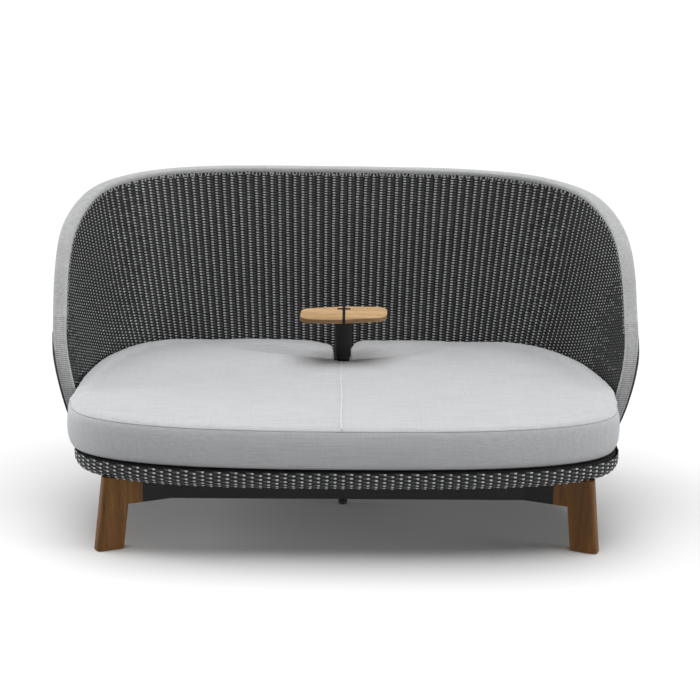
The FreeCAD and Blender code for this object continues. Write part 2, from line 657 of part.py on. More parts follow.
# ---------------------------------------------------------------- woven seat base: shallow tray with a rounded lower edge
tray_cut = doc.addObject("Part::Cut", "tray_hollow")
tray_cut.Base, tray_cut.Tool = tray_outer, tray_inner
drills = []
for side, sx in CROSS:
    for k, yy in enumerate(("bolt_y_front", "bolt_y_rear")):
        drills.append(cylinder("tray_drill_%s_%d" % (side, k), D("cross_x") * sx, D(yy) + YS, D("tray_bottom") - 2.0, D("bolt_r") + D("bolt_gap"), D("tray_wall") + 4.0))
drill_set = doc.addObject("Part::Compound", "tray_drills")
drill_set.Links = drills
tray = doc.addObject("Part::Cut", "seat_weave")
tray.Base, tray.Tool = tray_cut, drill_set
node(tray, "seat_weave")
doc.recompute()

# seat ring: bent square tube just inside the tray's edge
def loop_ring(inset_a, inset_b, z, high):
    outer = Part.Face(loop_wire(base_loop(inset_a), z)).extrude(V(0, 0, high))
    inner = Part.Face(loop_wire(base_loop(inset_b), z - 5.0)).extrude(V(0, 0, high + 10.0))
    return outer.cut(inner)


rr, rz = VAL["ring_r"], VAL["ring_z"]
ring = loop_ring(VAL["ring_inset"] - rr, VAL["ring_inset"] + rr, rz - rr, 2 * rr)
ring = ring.cut(loop_ring(VAL["ring_inset"] - rr + 2.0, VAL["ring_inset"] + rr - 2.0, rz - rr + 2.0, 2 * rr - 4.0))
node(feature("seat_ring", ring.Solids[0] if len(ring.Solids) == 1 else ring), "seat_ring")

# seat deck: woven panel inside the ring, open where the post flange stands
deck_outline = feature("deck_outline", loop_wire(base_loop(VAL["deck_inset"]), 0.0))
deck_outline.Placement = FreeCAD.Placement(V(0, 0, VAL["deck_z"]), ROT())
bind(deck_outline, "Placement.Base.z", D("deck_z"))
deck_block = doc.addObject("Part::Extrusion", "deck_block")
deck_block.Base = deck_outline
deck_block.DirMode = "Custom"
deck_block.Dir = V(0, 0, 1)
deck_block.LengthFwd = VAL["deck_thick"]
bind(deck_block, "LengthFwd", D("deck_thick"))
deck_block.Solid = True
deck_hole = cylinder("deck_hole", 0.0, D("post_y") + YS, D("deck_z") - 5.0, D("deck_hole_r"), D("deck_thick") + 10.0)
deck = doc.addObject("Part::Cut", "seat_deck")
deck.Base, deck.Tool = deck_block, deck_hole
node(deck, "seat_deck")

# ---------------------------------------------------------------- shell: two woven skins, ribs between them and a wrapped rim
SKIN_END = rim_point(RIM_HALF, VAL["skin_below_rim"])[0] - 6.0


def skin_grid(out, across=81, up=9):
    grid = []
    for i in range(across):
        q = -1.0 + 2.0 * i / (across - 1)
        r = q * RIM_HALF
        st, zt = rim_point(r, VAL["skin_below_rim"])
        sb = SKIN_END * math.copysign(1.0 - (1.0 - abs(q)) ** 1.45, q)
        row = []
        for j in range(up):
            f = j / (up - 1.0)
            row.append(wall_point(sb + f * (st - sb), VAL["wall_z"] + f * (zt - VAL["wall_z"]), out))
        grid.append(row)
    return grid


def skin_solid(out_a, out_b):
    sa, sb = Part.BSplineSurface(), Part.BSplineSurface()
    sa.interpolate(skin_grid(out_a))
    sb.interpolate(skin_grid(out_b))
    faces = [sa.toShape(), sb.toShape()]
    ua, va = sa.bounds()[:2], sa.bounds()[2:]
    ub, vb = sb.bounds()[:2], sb.bounds()[2:]
    for k in (0, 1):
        faces.append(Part.makeRuledSurface(sa.uIso(ua[k]).toShape(), sb.uIso(ub[k]).toShape()))
        faces.append(Part.makeRuledSurface(sa.vIso(va[k]).toShape(), sb.vIso(vb[k]).toShape()))
    return solid_from(faces)


node(feature("inner_weave", skin_solid(VAL["skin_in"], VAL["skin_in"] + VAL["skin"])), "inner_weave")
node(feature("outer_weave", skin_solid(VAL["wall_thick"] - VAL["skin_in"] - VAL["skin"], VAL["wall_thick"] - VAL["skin_in"])), "outer_weave")


def rim_section(r, half_wide, half_high):
    """Closed oval across the wall at one place on the rim."""
    mid = VAL["wall_thick"] / 2
    inset = VAL["rim_half_high"]
    s, z = rim_point(r, inset)
    c = wall_point(s, z, mid)
    across = wall_point(s, z, mid + 1.0) - c
    across.normalize()
    s2, z2 = rim_point(r, inset - 1.0)
    up = wall_point(s2, z2, mid) - c
    up = up - across * up.dot(across)
    up.normalize()
    pts = []
    for k in range(20):
        a = 2 * math.pi * k / 20
        ca, sa = math.cos(a), math.sin(a)
        pts.append(c + across * (half_wide * math.copysign(abs(ca) ** 0.75, ca)) + up * (half_high * math.copysign(abs(sa) ** 0.75, sa)))
    curve = Part.BSplineCurve()
    curve.interpolate(Points=pts, PeriodicFlag=True)
    return Part.Wire([curve.toShape()])


def rim_solid(half_wide, half_high, short, count=61):
    wires = []
    for i in range(count):
        q = -1.0 + 2.0 * i / (count - 1)
        wires.append(rim_section(q * (RIM_HALF - short), half_wide, half_high))
    return Part.makeLoft(wires, True, False)


hw, hh, sk_t, gp = VAL["rim_half_wide"], VAL["rim_half_high"], VAL["rim_skin"], VAL["rim_gap"]
wrap_out = rim_solid(hw, hh, 2.0)
wrap_in = rim_solid(hw - sk_t, hh - sk_t, 1.0)
wrap = wrap_out.cut(wrap_in)
node(feature("rim_wrap", wrap.Solids[0] if len(wrap.Solids) == 1 else wrap), "rim_wrap")
node(feature("rim_tube", rim_solid(hw - sk_t - gp, hh - sk_t - gp, 4.0)), "rim_tube")

ribs = []
for s in (0.0, 230.0, 460.0, 680.0, 860.0, 1000.0, 1110.0, 1190.0):
    for sg in ((1,) if s == 0 else (1, -1)):
        # top of the rib: just under the rim
        zt = VAL["wall_z"]
        k = 0
        r = 0.0
        while r < RIM_HALF:
            ss, zz = rim_point(r, 2 * VAL["rim_half_high"] + 1.5 + VAL["rib_r"] * 0.4)
            if ss >= s and k == 0:
                zt, k = zz, 1
            r += 2.0
        path_pts = [wall_point(sg * s, VAL["wall_z"] + (zt - VAL["wall_z"]) * j / 8.0, VAL["wall_thick"] / 2) for j in range(9)]
        rings = []
        for j, p in enumerate(path_pts):
            along = path_pts[min(j + 1, 8)] - path_pts[max(j - 1, 0)]
            along.normalize()
            rings.append(Part.Wire([Part.Circle(p, along, VAL["rib_r"]).toShape()]))
        ribs.append(Part.makeLoft(rings, True, False))
rib_set = Part.Compound(ribs)
node(feature("back_ribs", rib_set), "back_ribs")

# ---------------------------------------------------------------- seat cushion: one boxed pad with a notch at the back for the post
def cushion_block(shrink, lo, side, top, crown):
    wires = []
    for z, inset in ((lo, 10.0), (lo + 9.0, 0.0), (side, 0.0), (side + 6.0, 6.0), (top, crown)):
        level = max(z, VAL["wall_z"])
        # the front edge stays upright: the flare is only followed where the wall stands beside the cushion
        pts = plan_loop(VAL["cush_front"], VAL["cush_power"], level, inset + shrink, -VAL["cush_gap"], upright=True, draw_in=VAL["cush_draw_in"], swell=VAL["cush_swell"], count=128)
        wires.append(loop_wire(pts, z))
    return Part.makeLoft(wires, True, True)


def notch_block(half, z0, z1, end):
    y0 = VAL["post_y"] + VAL["y_shift"]
    box = Part.makeBox(2 * half, 500, z1 - z0, V(-half, y0, z0))
    cyl = Part.makeCylinder(half, z1 - z0, V(0, y0, z0))
    return box.fuse(cyl)


cw = VAL["cush_wall"]
body_out = cushion_block(0.0, VAL["cush_bottom"], VAL["cush_side"], VAL["cush_top"], 24.0).cut(notch_block(VAL["notch_half"], 250, 520, 0))
body_in = cushion_block(cw, VAL["cush_bottom"] + cw, VAL["cush_side"] - cw, VAL["cush_top"] - cw, 24.0).cut(notch_block(VAL["notch_half"] + cw, 250, 520, 0))
cush = body_out.cut(body_in)
node(feature("seat_cushion", cush.Solids[0] if len(cush.Solids) == 1 else cush), "seat_cushion")

# ---------------------------------------------------------------- post, flange, sleeve and bearings
PY = D("post_y") + YS
b = new_body("post_flange", 0.0, PY, D("flange_z"))
sk = new_sketch(b, "flange_disc", "XY_Plane")
circle(sk, 0.0, 0.0, D("flange_r"))
pad(b, sk, "flange_pad", D("flange_thick"))
sk = new_sketch(b, "flange_hole", "XY_Plane")
a = math.radians(45)
circle(sk, D("flange_pcr") * math.cos(a), D("flange_pcr") * math.sin(a), D("screw_r") + D("screw_gap"))
pk = pocket(b, sk, "flange_drill", back=True)
pat = b.newObject("PartDesign::PolarPattern", "flange_holes")
pat.Originals = [pk]
pat.Axis = (sk, ["N_Axis"])
pat.Angle = 360.0
pat.Occurrences = 4
b.Tip = pat
doc.recompute()
node(b, "post_flange")

b = new_body("table_post", 0.0, PY, 0.0)
revolve(b, "table_post", [
    (0.0, D("post_base") + 0.05), (D("post_r"), D("post_base") + 0.05), (D("post_r"), D("post_shoulder")), (D("spindle_r"), D("post_shoulder")),
    (D("spindle_r"), D("spindle_top")), (D("keep_screw_r") + 0.2, D("spindle_top")), (D("keep_screw_r") + 0.2, D("spindle_top") - D("keep_screw_long") - 2.0),
    (0.0, D("spindle_top") - D("keep_screw_long") - 2.0)])
node(b, "table_post")

screws = []
for k in range(4):
    a = math.radians(45 + 90 * k)
    x, y = D("flange_pcr") * math.cos(a), PY + D("flange_pcr") * math.sin(a)
    z = D("flange_z") + D("flange_thick")
    shank = cylinder("flange_screw_%d_shank" % k, x, y, z - 22.0, D("screw_r"), Size.of(22.5))
    head = cylinder("flange_screw_%d_head" % k, x, y, z + 0.1, D("screw_head_r"), D("screw_head_high"))
    screws.append(join("flange_screw_%d" % k, [shank, head]))
group("flange_screws", screws)


def ring_body(label, z, high, r_in, r_out):
    b = new_body(label, 0.0, PY, z)
    revolve(b, label, [(r_in, 0.0), (r_out, 0.0), (r_out, high), (r_in, high)])
    return node(b, label)


ring_body("thrust_washer", D("post_shoulder") + 0.05, D("thrust_thick"), D("thrust_bore"), D("thrust_r"))
ring_body("swivel_sleeve", D("sleeve_bottom"), D("sleeve_top") - D("sleeve_bottom"), D("sleeve_bore"), D("sleeve_r"))
ring_body("bush_lower", D("bush_low_z"), D("bush_long"), D("bush_bore"), D("bush_r"))
ring_body("bush_upper", D("bush_up_z"), D("bush_long"), D("bush_bore"), D("bush_r"))
ring_body("keeper_washer", D("spindle_top") + 0.05, D("keep_thick"), D("keep_screw_r") + 0.2, D("keep_r"))
b = new_body("keeper_screw", 0.0, PY, D("spindle_top"))
h0 = D("keep_thick") + 0.15
revolve(b, "keeper_screw", [
    (0.0, -D("keep_screw_long")), (D("keep_screw_r"), -D("keep_screw_long")), (D("keep_screw_r"), h0), (D("keep_head_r"), h0),
    (D("keep_head_r"), h0 + D("keep_head_high")), (0.0, h0 + D("keep_head_high"))])
node(b, "keeper_screw")

# ---------------------------------------------------------------- table: plate, fin, crossbar and two wooden halves
b = new_body("table_plate", 0.0, PY, D("plate_z"), D("table_turn"))
sk = new_sketch(b, "plate_outline", "XY_Plane")
rectangle(sk, -D("plate_wide") * 0.5, -D("plate_deep") * 0.5, D("plate_wide") * 0.5, D("plate_deep") * 0.5)
p = pad(b, sk, "plate_pad", D("plate_thick"))
fillet(b, "plate_corners", edges_where(p.Shape, lambda e: e.BoundBox.ZLength > 4 and e.BoundBox.XLength < 0.01 and e.BoundBox.YLength < 0.01), Size.of(14.0))
sk = new_sketch(b, "plate_holes", "XY_Plane")
for sx in (1.0, -1.0):
    for sy in (1.0, -1.0):
        circle(sk, D("tscrew_x") * sx, D("tscrew_y") * sy, D("tscrew_r") + 0.3)
pocket(b, sk, "plate_drill", back=True)
node(b, "table_plate")

b = new_body("table_fin", 0.0, PY, D("fin_z"), D("table_turn"))
sk = new_sketch(b, "fin_outline", "YZ_Plane")
lo, hi = D("bar_y") - D("bar_deep") * 0.5 - D("bar_gap"), D("bar_y") + D("bar_deep") * 0.5 + D("bar_gap")
seat = D("bar_z") - D("fin_z") - 0.2
polygon(sk, [(D("fin_front"), 0.0), (D("fin_back"), 0.0), (D("fin_back"), D("fin_high")), (hi, D("fin_high")), (hi, seat), (lo, seat), (lo, D("fin_high")), (D("fin_front"), D("fin_high"))])
pad(b, sk, "fin_pad", D("fin_half") * 2.0, mid=True)
node(b, "table_fin")

b = new_body("table_crossbar", 0.0, PY, D("bar_z"), D("table_turn"))
sk = new_sketch(b, "bar_outline", "XY_Plane")
rectangle(sk, -D("bar_half"), D("bar_y") - D("bar_deep") * 0.5, D("bar_half"), D("bar_y") + D("bar_deep") * 0.5)
pad(b, sk, "bar_pad", D("bar_high"))
node(b, "table_crossbar")

for label, sgn, turn in (("table_top_right", 1.0, 0.0), ("table_top_left", -1.0, 180.0)):
    b = new_body(label, 0.0, PY, D("top_z"), D("table_turn") + turn)
    sk = new_sketch(b, label + "_outline", "XY_Plane")
    polygon(sk, [(D("slit_half"), D("top_front_slit")), (D("top_far_front_x"), D("top_far_front_y")), (D("top_far"), D("top_back")), (D("slit_half"), D("top_back_slit"))])
    p = pad(b, sk, label + "_pad", D("top_thick"))

    def upright(e, x, y):
        m = e.BoundBox
        return m.ZLength > 10 and abs(m.XMin - x) < 0.1 and abs(m.YMin - y) < 0.1 and m.XLength < 0.01

    fillet(b, label + "_round_a", edges_where(p.Shape, lambda e: upright(e, VAL["top_far_front_x"], VAL["top_far_front_y"])), D("top_round_a"))
    fillet(b, label + "_round_b", edges_where(b.Tip.Shape, lambda e: upright(e, VAL["top_far"], VAL["top_back"])), D("top_round_b"))
    fillet(b, label + "_edge", edges_where(b.Tip.Shape, lambda e: e.BoundBox.ZLength < 0.01 and (e.BoundBox.XMax > VAL["slit_half"] + 0.1)), D("top_edge"))
    sk = new_sketch(b, label + "_groove", "XY_Plane", D("bar_z") - D("top_z") - 0.2)
    yy = D("bar_y") * sgn
    half = D("bar_deep") * 0.5 + D("bar_gap")
    rectangle(sk, D("slit_half") - 1.0, yy - half, D("bar_half") + D("bar_gap"), yy + half)
    pocket(b, sk, label + "_bar_seat", Size.of(20.0), back=True)
    sk = new_sketch(b, label + "_screw_holes", "XY_Plane")
    for sy in (1.0, -1.0):
        circle(sk, D("tscrew_x"), D("tscrew_y") * sy, D("tscrew_r") + 0.2)
    pocket(b, sk, label + "_screws_in", D("tscrew_long") - D("plate_thick") + 1.0, back=True)
    node(b, label)

screws = []
for i, sx in enumerate((1.0, -1.0)):
    for j, sy in enumerate((1.0, -1.0)):
        ct, st = math.cos(math.radians(VAL["table_turn"])), math.sin(math.radians(VAL["table_turn"]))
        x, y = D("tscrew_x") * (sx * ct) - D("tscrew_y") * (sy * st), PY + D("tscrew_x") * (sx * st) + D("tscrew_y") * (sy * ct)
        head = cylinder("table_screw_%d%d_head" % (i, j), x, y, D("plate_z") - D("tscrew_head_high") - 0.05, D("tscrew_head_r"), D("tscrew_head_high"))
        shank = cylinder("table_screw_%d%d_shank" % (i, j), x, y, D("plate_z") - 0.5, D("tscrew_r"), D("tscrew_long"))
        screws.append(join("table_screw_%d%d" % (i, j), [head, shank]))
group("table_screws", screws)

# ---------------------------------------------------------------- checks and files
doc.recompute()
problems = []
for o in doc.Objects:
    if "Invalid" in o.State or "Error" in o.State:
        problems.append("%s: %s" % (o.Name, o.State))
for o in NODES:
    s = o.Shape
    if s.isNull() or not s.isValid():
        problems.append("%s: shape not valid" % o.Label)
    elif not s.Solids:
        problems.append("%s: no solid" % o.Label)
    elif min(x.Volume for x in s.Solids) <= 0:
        problems.append("%s: volume not above zero" % o.Label)
box = FreeCAD.BoundBox()
for o in NODES:
    box.add(o.Shape.BoundBox)
    print("%-18s %2d solids %9.1f cm3  x %.1f %.1f  y %.1f %.1f  z %.1f %.1f" % (
        o.Label, len(o.Shape.Solids), o.Shape.Volume / 1000, o.Shape.BoundBox.XMin, o.Shape.BoundBox.XMax,
        o.Shape.BoundBox.YMin, o.Shape.BoundBox.YMax, o.Shape.BoundBox.ZMin, o.Shape.BoundBox.ZMax))
print("box", box)
if problems:
    for p in problems:
        print("PROBLEM", p)
    raise RuntimeError("the part has %d problems" % len(problems))
os.makedirs("parts", exist_ok=True)
for o in NODES:
    o.Shape.exportStep("parts/%s.step" % o.Label)
print("wrote", len(NODES), "nodes")
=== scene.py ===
import math

import bmesh
import bpy
import numpy as np
from mathutils import Matrix, Vector
from mathutils.bvhtree import BVHTree


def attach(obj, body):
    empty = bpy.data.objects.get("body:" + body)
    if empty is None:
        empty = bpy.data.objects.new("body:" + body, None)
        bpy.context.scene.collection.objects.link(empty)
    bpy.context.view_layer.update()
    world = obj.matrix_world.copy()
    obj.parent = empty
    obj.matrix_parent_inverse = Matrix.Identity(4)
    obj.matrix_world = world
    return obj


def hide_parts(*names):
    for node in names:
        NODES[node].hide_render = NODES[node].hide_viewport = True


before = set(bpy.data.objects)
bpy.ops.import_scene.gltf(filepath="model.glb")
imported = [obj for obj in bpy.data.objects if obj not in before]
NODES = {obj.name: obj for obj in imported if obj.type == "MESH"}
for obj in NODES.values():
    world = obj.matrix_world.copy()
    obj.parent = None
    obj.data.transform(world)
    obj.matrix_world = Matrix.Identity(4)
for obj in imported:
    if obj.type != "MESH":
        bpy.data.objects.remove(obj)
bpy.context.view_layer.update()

scene = bpy.context.scene
rng = np.random.default_rng(20)

# ------------------------------------------------------------------ shape of the woven shell, in millimetres
Y_SHIFT = -29.5
LEAN = 0.12
WALL = 45.0
SKIN_IN = 2.5


class Spline:
    """Natural cubic spline through (x, y) pairs."""

    def __init__(self, xs, ys):
        n = len(xs)
        self.xs, self.ys = list(xs), list(ys)
        h = [xs[i + 1] - xs[i] for i in range(n - 1)]
        a, b, c, d = [0.0] * n, [1.0] * n, [0.0] * n, [0.0] * n
        for i in range(1, n - 1):
            a[i], b[i], c[i] = h[i - 1], 2 * (h[i - 1] + h[i]), h[i]
            d[i] = 6 * ((ys[i + 1] - ys[i]) / h[i] - (ys[i] - ys[i - 1]) / h[i - 1])
        for i in range(1, n):
            w = a[i] / b[i - 1]
            b[i] -= w * c[i - 1]
            d[i] -= w * d[i - 1]
        m = [0.0] * n
        m[-1] = d[-1] / b[-1]
        for i in range(n - 2, -1, -1):
            m[i] = (d[i] - c[i] * m[i + 1]) / b[i]
        self.m, self.h = np.array(m), np.array(h)
        self.ax, self.ay = np.array(xs, float), np.array(ys, float)

    def _cell(self, x):
        x = np.asarray(x, float)
        i = np.clip(np.searchsorted(self.ax, x, side="right") - 1, 0, len(self.ax) - 2)
        return x, i, self.h[i], self.ax[i + 1] - x, x - self.ax[i]

    def __call__(self, x):
        x, i, h, a, b = self._cell(x)
        m, y = self.m, self.ay
        return (m[i] * a ** 3 + m[i + 1] * b ** 3) / (6 * h) + (y[i] / h - m[i] * h / 6) * a + (y[i + 1] / h - m[i + 1] * h / 6) * b

    def slope(self, x):
        x, i, h, a, b = self._cell(x)
        m, y = self.m, self.ay
        return (-m[i] * a ** 2 + m[i + 1] * b ** 2) / (2 * h) + (y[i + 1] - y[i]) / h - (m[i + 1] - m[i]) * h / 6


def mirrored(pts):
    return [(-x, y) for x, y in pts[:0:-1]] + list(pts)


def run_of(pts):
    r = [0.0]
    for p, q in zip(pts, pts[1:]):
        r.append(r[-1] + math.hypot(q[0] - p[0], q[1] - p[1]))
    return [v - r[-1] / 2 for v in r], r[-1] / 2


BACK_PLAN = mirrored([(0, 441), (213, 437.5), (354, 432), (495, 412), (633, 366), (699, 322), (760, 245), (812, 148), (850, 20), (874, -100), (884, -200), (888, -250)])
RUN, HALF_RUN = run_of(BACK_PLAN)
PLAN_X, PLAN_Y = Spline(RUN, [p[0] for p in BACK_PLAN]), Spline(RUN, [p[1] for p in BACK_PLAN])
FLARE = Spline([200, 280, 440, 620, 800, 1000, 1100], [-75, -46, 0, 46, 78, 108, 122])
RIM = mirrored([(0, 1031), (150, 1031), (300, 1031), (450, 1030), (560, 1027.5), (650, 1021), (720, 1010), (790, 993), (850, 969), (920, 927), (980, 877), (1030, 823),
                (1075, 767), (1115, 709), (1158, 652), (1205, 598), (1243, 541), (1265, 484), (1272, 428), (1269, 380), (1258, 336), (1246, 299)])
RRUN, RIM_HALF = run_of(RIM)
RIM_S, RIM_Z = Spline(RRUN, [p[0] for p in RIM]), Spline(RRUN, [p[1] for p in RIM])


def wall(s, z, out):
    """Point of the wall: s along it from the back centre, height z, out from the inside face. Millimetres."""
    s, z = np.asarray(s, float), np.asarray(z, float)
    tx, ty = PLAN_X.slope(s), PLAN_Y.slope(s)
    n = np.hypot(tx, ty)
    nx, ny = -ty / n, tx / n
    d = FLARE(z) * (1.0 + LEAN * np.exp(-(s / 700.0) ** 4)) + out
    x, y = PLAN_X(s) + nx * d, PLAN_Y(s) + ny * d + Y_SHIFT
    return np.stack([x, y, np.broadcast_to(z, x.shape)], -1)


def rim_at(r, inset):
    ts, tz = RIM_S.slope(r), RIM_Z.slope(r)
    n = np.hypot(ts, tz)
    return RIM_S(r) + inset * tz / n, RIM_Z(r) - inset * ts / n


def ease(t):
    t = np.clip(t, 0.0, 1.0)
    return t * t * (3.0 - 2.0 * t)


def outline(front, power, level, gap, draw_in, upright, step, swell=(0.0, 0.0)):
    """Closed outline seen from above, evenly spaced: the wall's line behind, a squared oval in front. It runs left wing, back, right wing, front.
    swell: how far it fills out ahead of the left and the right wing."""
    s = np.linspace(-HALF_RUN, HALF_RUN, 401)
    lev = np.full_like(s, level)
    if upright:
        lev = lev + (440.0 - level) * ease((np.abs(s) - 1285.0) / 50.0)
    fill = np.where(s < 0, swell[0], swell[1]) * ease((np.abs(s) - 1254.0) / 92.0)
    back = wall(s, lev, gap - draw_in * ease((np.abs(s) - 1080.0) / 220.0) + fill)[:, :2]
    mid, side = (back[-1, 0] + back[0, 0]) / 2, (back[-1, 0] - back[0, 0]) / 2
    y0 = (back[-1, 1] + back[0, 1]) / 2
    deep = front - (-250.0 - (y0 - Y_SHIFT))
    t = np.linspace(0, math.pi, 241)[1:-1]
    c, q = np.cos(t), np.sin(t)
    fr = np.stack([mid + side * np.sign(c) * np.abs(c) ** (2 / power), y0 - deep * q ** (2 / power)], -1)
    return even(np.vstack([back, fr]), step)


def even(pts, step=None, count=None):
    closed = np.vstack([pts, pts[:1]])
    run = np.r_[0, np.cumsum(np.hypot(*np.diff(closed, axis=0).T))]
    n = count or int(round(run[-1] / step))
    d = run[-1] * np.arange(n) / n
    return np.stack([np.interp(d, run, closed[:, 0]), np.interp(d, run, closed[:, 1])], -1)


def outward(pts, reach=3):
    t = np.roll(pts, -reach, 0) - np.roll(pts, reach, 0)
    t /= np.hypot(t[:, 0], t[:, 1])[:, None]
    return np.stack([-t[:, 1], t[:, 0]], -1)


# ------------------------------------------------------------------ mesh helpers
def mesh_piece(name, verts, quads, mats, index=None, uv=None):
    me = bpy.data.meshes.new(name)
    me.vertices.add(len(verts))
    me.vertices.foreach_set("co", np.ascontiguousarray(verts, np.float32).ravel())
    n = len(quads)
    me.loops.add(4 * n)
    me.loops.foreach_set("vertex_index", np.ascontiguousarray(quads, np.int32).ravel())
    me.polygons.add(n)
    me.polygons.foreach_set("loop_start", np.arange(0, 4 * n, 4, dtype=np.int32))
    me.update(calc_edges=True)
    me.polygons.foreach_set("use_smooth", np.ones(n, bool))
    for m in mats:
        me.materials.append(m)
    if index is not None:
        me.polygons.foreach_set("material_index", np.ascontiguousarray(index, np.int32))
    if uv is not None:
        layer = me.uv_layers.new(name="OFBake")
        layer.data.foreach_set("uv", np.ascontiguousarray(uv[quads.ravel()], np.float32).ravel())
    me.update()
    ob = bpy.data.objects.new(name, me)
    scene.collection.objects.link(ob)
    return ob


def patch_faces(count, nx, nk, flip):
    """Quads of count separate grids of nx by nk points."""
    i, k = np.meshgrid(np.arange(nx - 1), np.arange(nk - 1), indexing="ij")
    a = (i * nk + k).ravel()
    q = np.stack([a, a + nk, a + nk + 1, a + 1], -1)
    if flip:
        q = q[:, ::-1]
    return (q[None] + (np.arange(count) * nx * nk)[:, None, None]).reshape(-1, 4)


def tube(name, path, radius, mats, closed=False, sides=8, flat=1.0):
    """Thin round strip along a path of points, metres."""
    p = np.asarray(path, float)
    n = len(p)
    if closed:
        t = np.roll(p, -1, 0) - np.roll(p, 1, 0)
    else:
        t = np.gradient(p, axis=0)
    t /= np.linalg.norm(t, axis=1)[:, None]
    ref = np.array([0.0, 0.0, 1.0])
    a = np.cross(t, ref)
    weak = np.linalg.norm(a, axis=1) < 0.2
    a[weak] = np.cross(t[weak], np.array([1.0, 0.0, 0.0]))
    a /= np.linalg.norm(a, axis=1)[:, None]
    b = np.cross(a, t)
    ang = 2 * math.pi * np.arange(sides) / sides
    ring = p[:, None] + radius * (np.cos(ang)[None, :, None] * a[:, None] + flat * np.sin(ang)[None, :, None] * b[:, None])
    m = n if closed else n - 1
    i, k = np.meshgrid(np.arange(m), np.arange(sides), indexing="ij")
    i, k = i.ravel(), k.ravel()
    j, k2 = (i + 1) % n, (k + 1) % sides
    quads = np.stack([i * sides + k, i * sides + k2, j * sides + k2, j * sides + k], -1)
    uv = np.stack([np.repeat(np.arange(n) / n, sides), np.tile(np.arange(sides) / sides, n)], -1)
    ob = mesh_piece(name, ring.reshape(-1, 3), quads, mats, None, uv)
    tidy_normals(ob)
    return ob


def tidy_normals(ob):
    bm = bmesh.new()
    bm.from_mesh(ob.data)
    bmesh.ops.recalc_face_normals(bm, faces=bm.faces)
    bm.to_mesh(ob.data)
    bm.free()


# ------------------------------------------------------------------ materials
class Mat:
    """Node material with short calls for the nodes used here."""

    def __init__(self, name):
        self.m = bpy.data.materials.new(name)
        self.m.use_nodes = True
        self.nt = self.m.node_tree
        self.b = self.nt.nodes["Principled BSDF"]
        self.at = self.nt.nodes.new("ShaderNodeTexCoord").outputs["Object"]
        self.h = None

    def put(self, a, b):
        self.nt.links.new(a, b)

    def set(self, **kw):
        for k, v in kw.items():
            self.b.inputs[k.replace("_", " ")].default_value = v

    def scaled(self, sx, sy, sz, turn=(0, 0, 0)):
        n = self.nt.nodes.new("ShaderNodeMapping")
        n.inputs["Scale"].default_value = (sx, sy, sz)
        n.inputs["Rotation"].default_value = turn
        self.put(self.at, n.inputs["Vector"])
        return n.outputs["Vector"]

    def noise(self, scale, detail=3.0, rough=0.55, vec=None, distort=0.0):
        n = self.nt.nodes.new("ShaderNodeTexNoise")
        n.inputs["Scale"].default_value = scale
        n.inputs["Detail"].default_value = detail
        n.inputs["Roughness"].default_value = rough
        n.inputs["Distortion"].default_value = distort
        self.put(self.at if vec is None else vec, n.inputs["Vector"])
        return n.outputs["Fac"]

    def wave(self, scale, axis="X", distort=0.0, vec=None, dscale=1.0, profile="SIN"):
        n = self.nt.nodes.new("ShaderNodeTexWave")
        n.wave_type = "BANDS"
        n.bands_direction = axis
        n.wave_profile = profile
        n.inputs["Scale"].default_value = scale
        n.inputs["Distortion"].default_value = distort
        n.inputs["Detail"].default_value = 2.0
        n.inputs["Detail Scale"].default_value = dscale
        self.put(self.at if vec is None else vec, n.inputs["Vector"])
        return n.outputs["Fac"]

    def cells(self, scale, vec=None):
        n = self.nt.nodes.new("ShaderNodeTexVoronoi")
        n.inputs["Scale"].default_value = scale
        self.put(self.at if vec is None else vec, n.inputs["Vector"])
        return n.outputs["Distance"]

    def ramp(self, fac, stops):
        n = self.nt.nodes.new("ShaderNodeValToRGB")
        e = n.color_ramp.elements
        while len(e) < len(stops):
            e.new(0.5)
        for el, (pos, col) in zip(e, stops):
            el.position = pos
            el.color = (*col, 1.0)
        self.put(fac, n.inputs["Fac"])
        return n.outputs["Color"]

    def span(self, fac, lo, hi, a=0.0, b=1.0):
        n = self.nt.nodes.new("ShaderNodeMapRange")
        n.inputs["From Min"].default_value = a
        n.inputs["From Max"].default_value = b
        n.inputs["To Min"].default_value = lo
        n.inputs["To Max"].default_value = hi
        self.put(fac, n.inputs["Value"])
        return n.outputs["Result"]

    def math(self, op, a, b):
        n = self.nt.nodes.new("ShaderNodeMath")
        n.operation = op
        for i, v in enumerate((a, b)):
            if isinstance(v, (int, float)):
                n.inputs[i].default_value = v
            else:
                self.put(v, n.inputs[i])
        return n.outputs[0]

    def mix(self, fac, a, b, mode="MIX"):
        n = self.nt.nodes.new("ShaderNodeMix")
        n.data_type = "RGBA"
        n.blend_type = mode
        if isinstance(fac, (int, float)):
            n.inputs[0].default_value = fac
        else:
            self.put(fac, n.inputs[0])
        for i, v in ((6, a), (7, b)):
            if isinstance(v, tuple):
                n.inputs[i].default_value = (*v, 1.0)
            else:
                self.put(v, n.inputs[i])
        return n.outputs[2]

    def color(self, c):
        self.put(c, self.b.inputs["Base Color"])

    def rough(self, v):
        self.put(v, self.b.inputs["Roughness"])

    def bump(self, height, strength, distance):
        n = self.nt.nodes.new("ShaderNodeBump")
        n.inputs["Strength"].default_value = strength
        n.inputs["Distance"].default_value = distance
        self.put(height, n.inputs["Height"])
        if self.h is not None:
            self.put(self.h, n.inputs["Normal"])
        self.h = n.outputs["Normal"]
        self.put(self.h, self.b.inputs["Normal"])


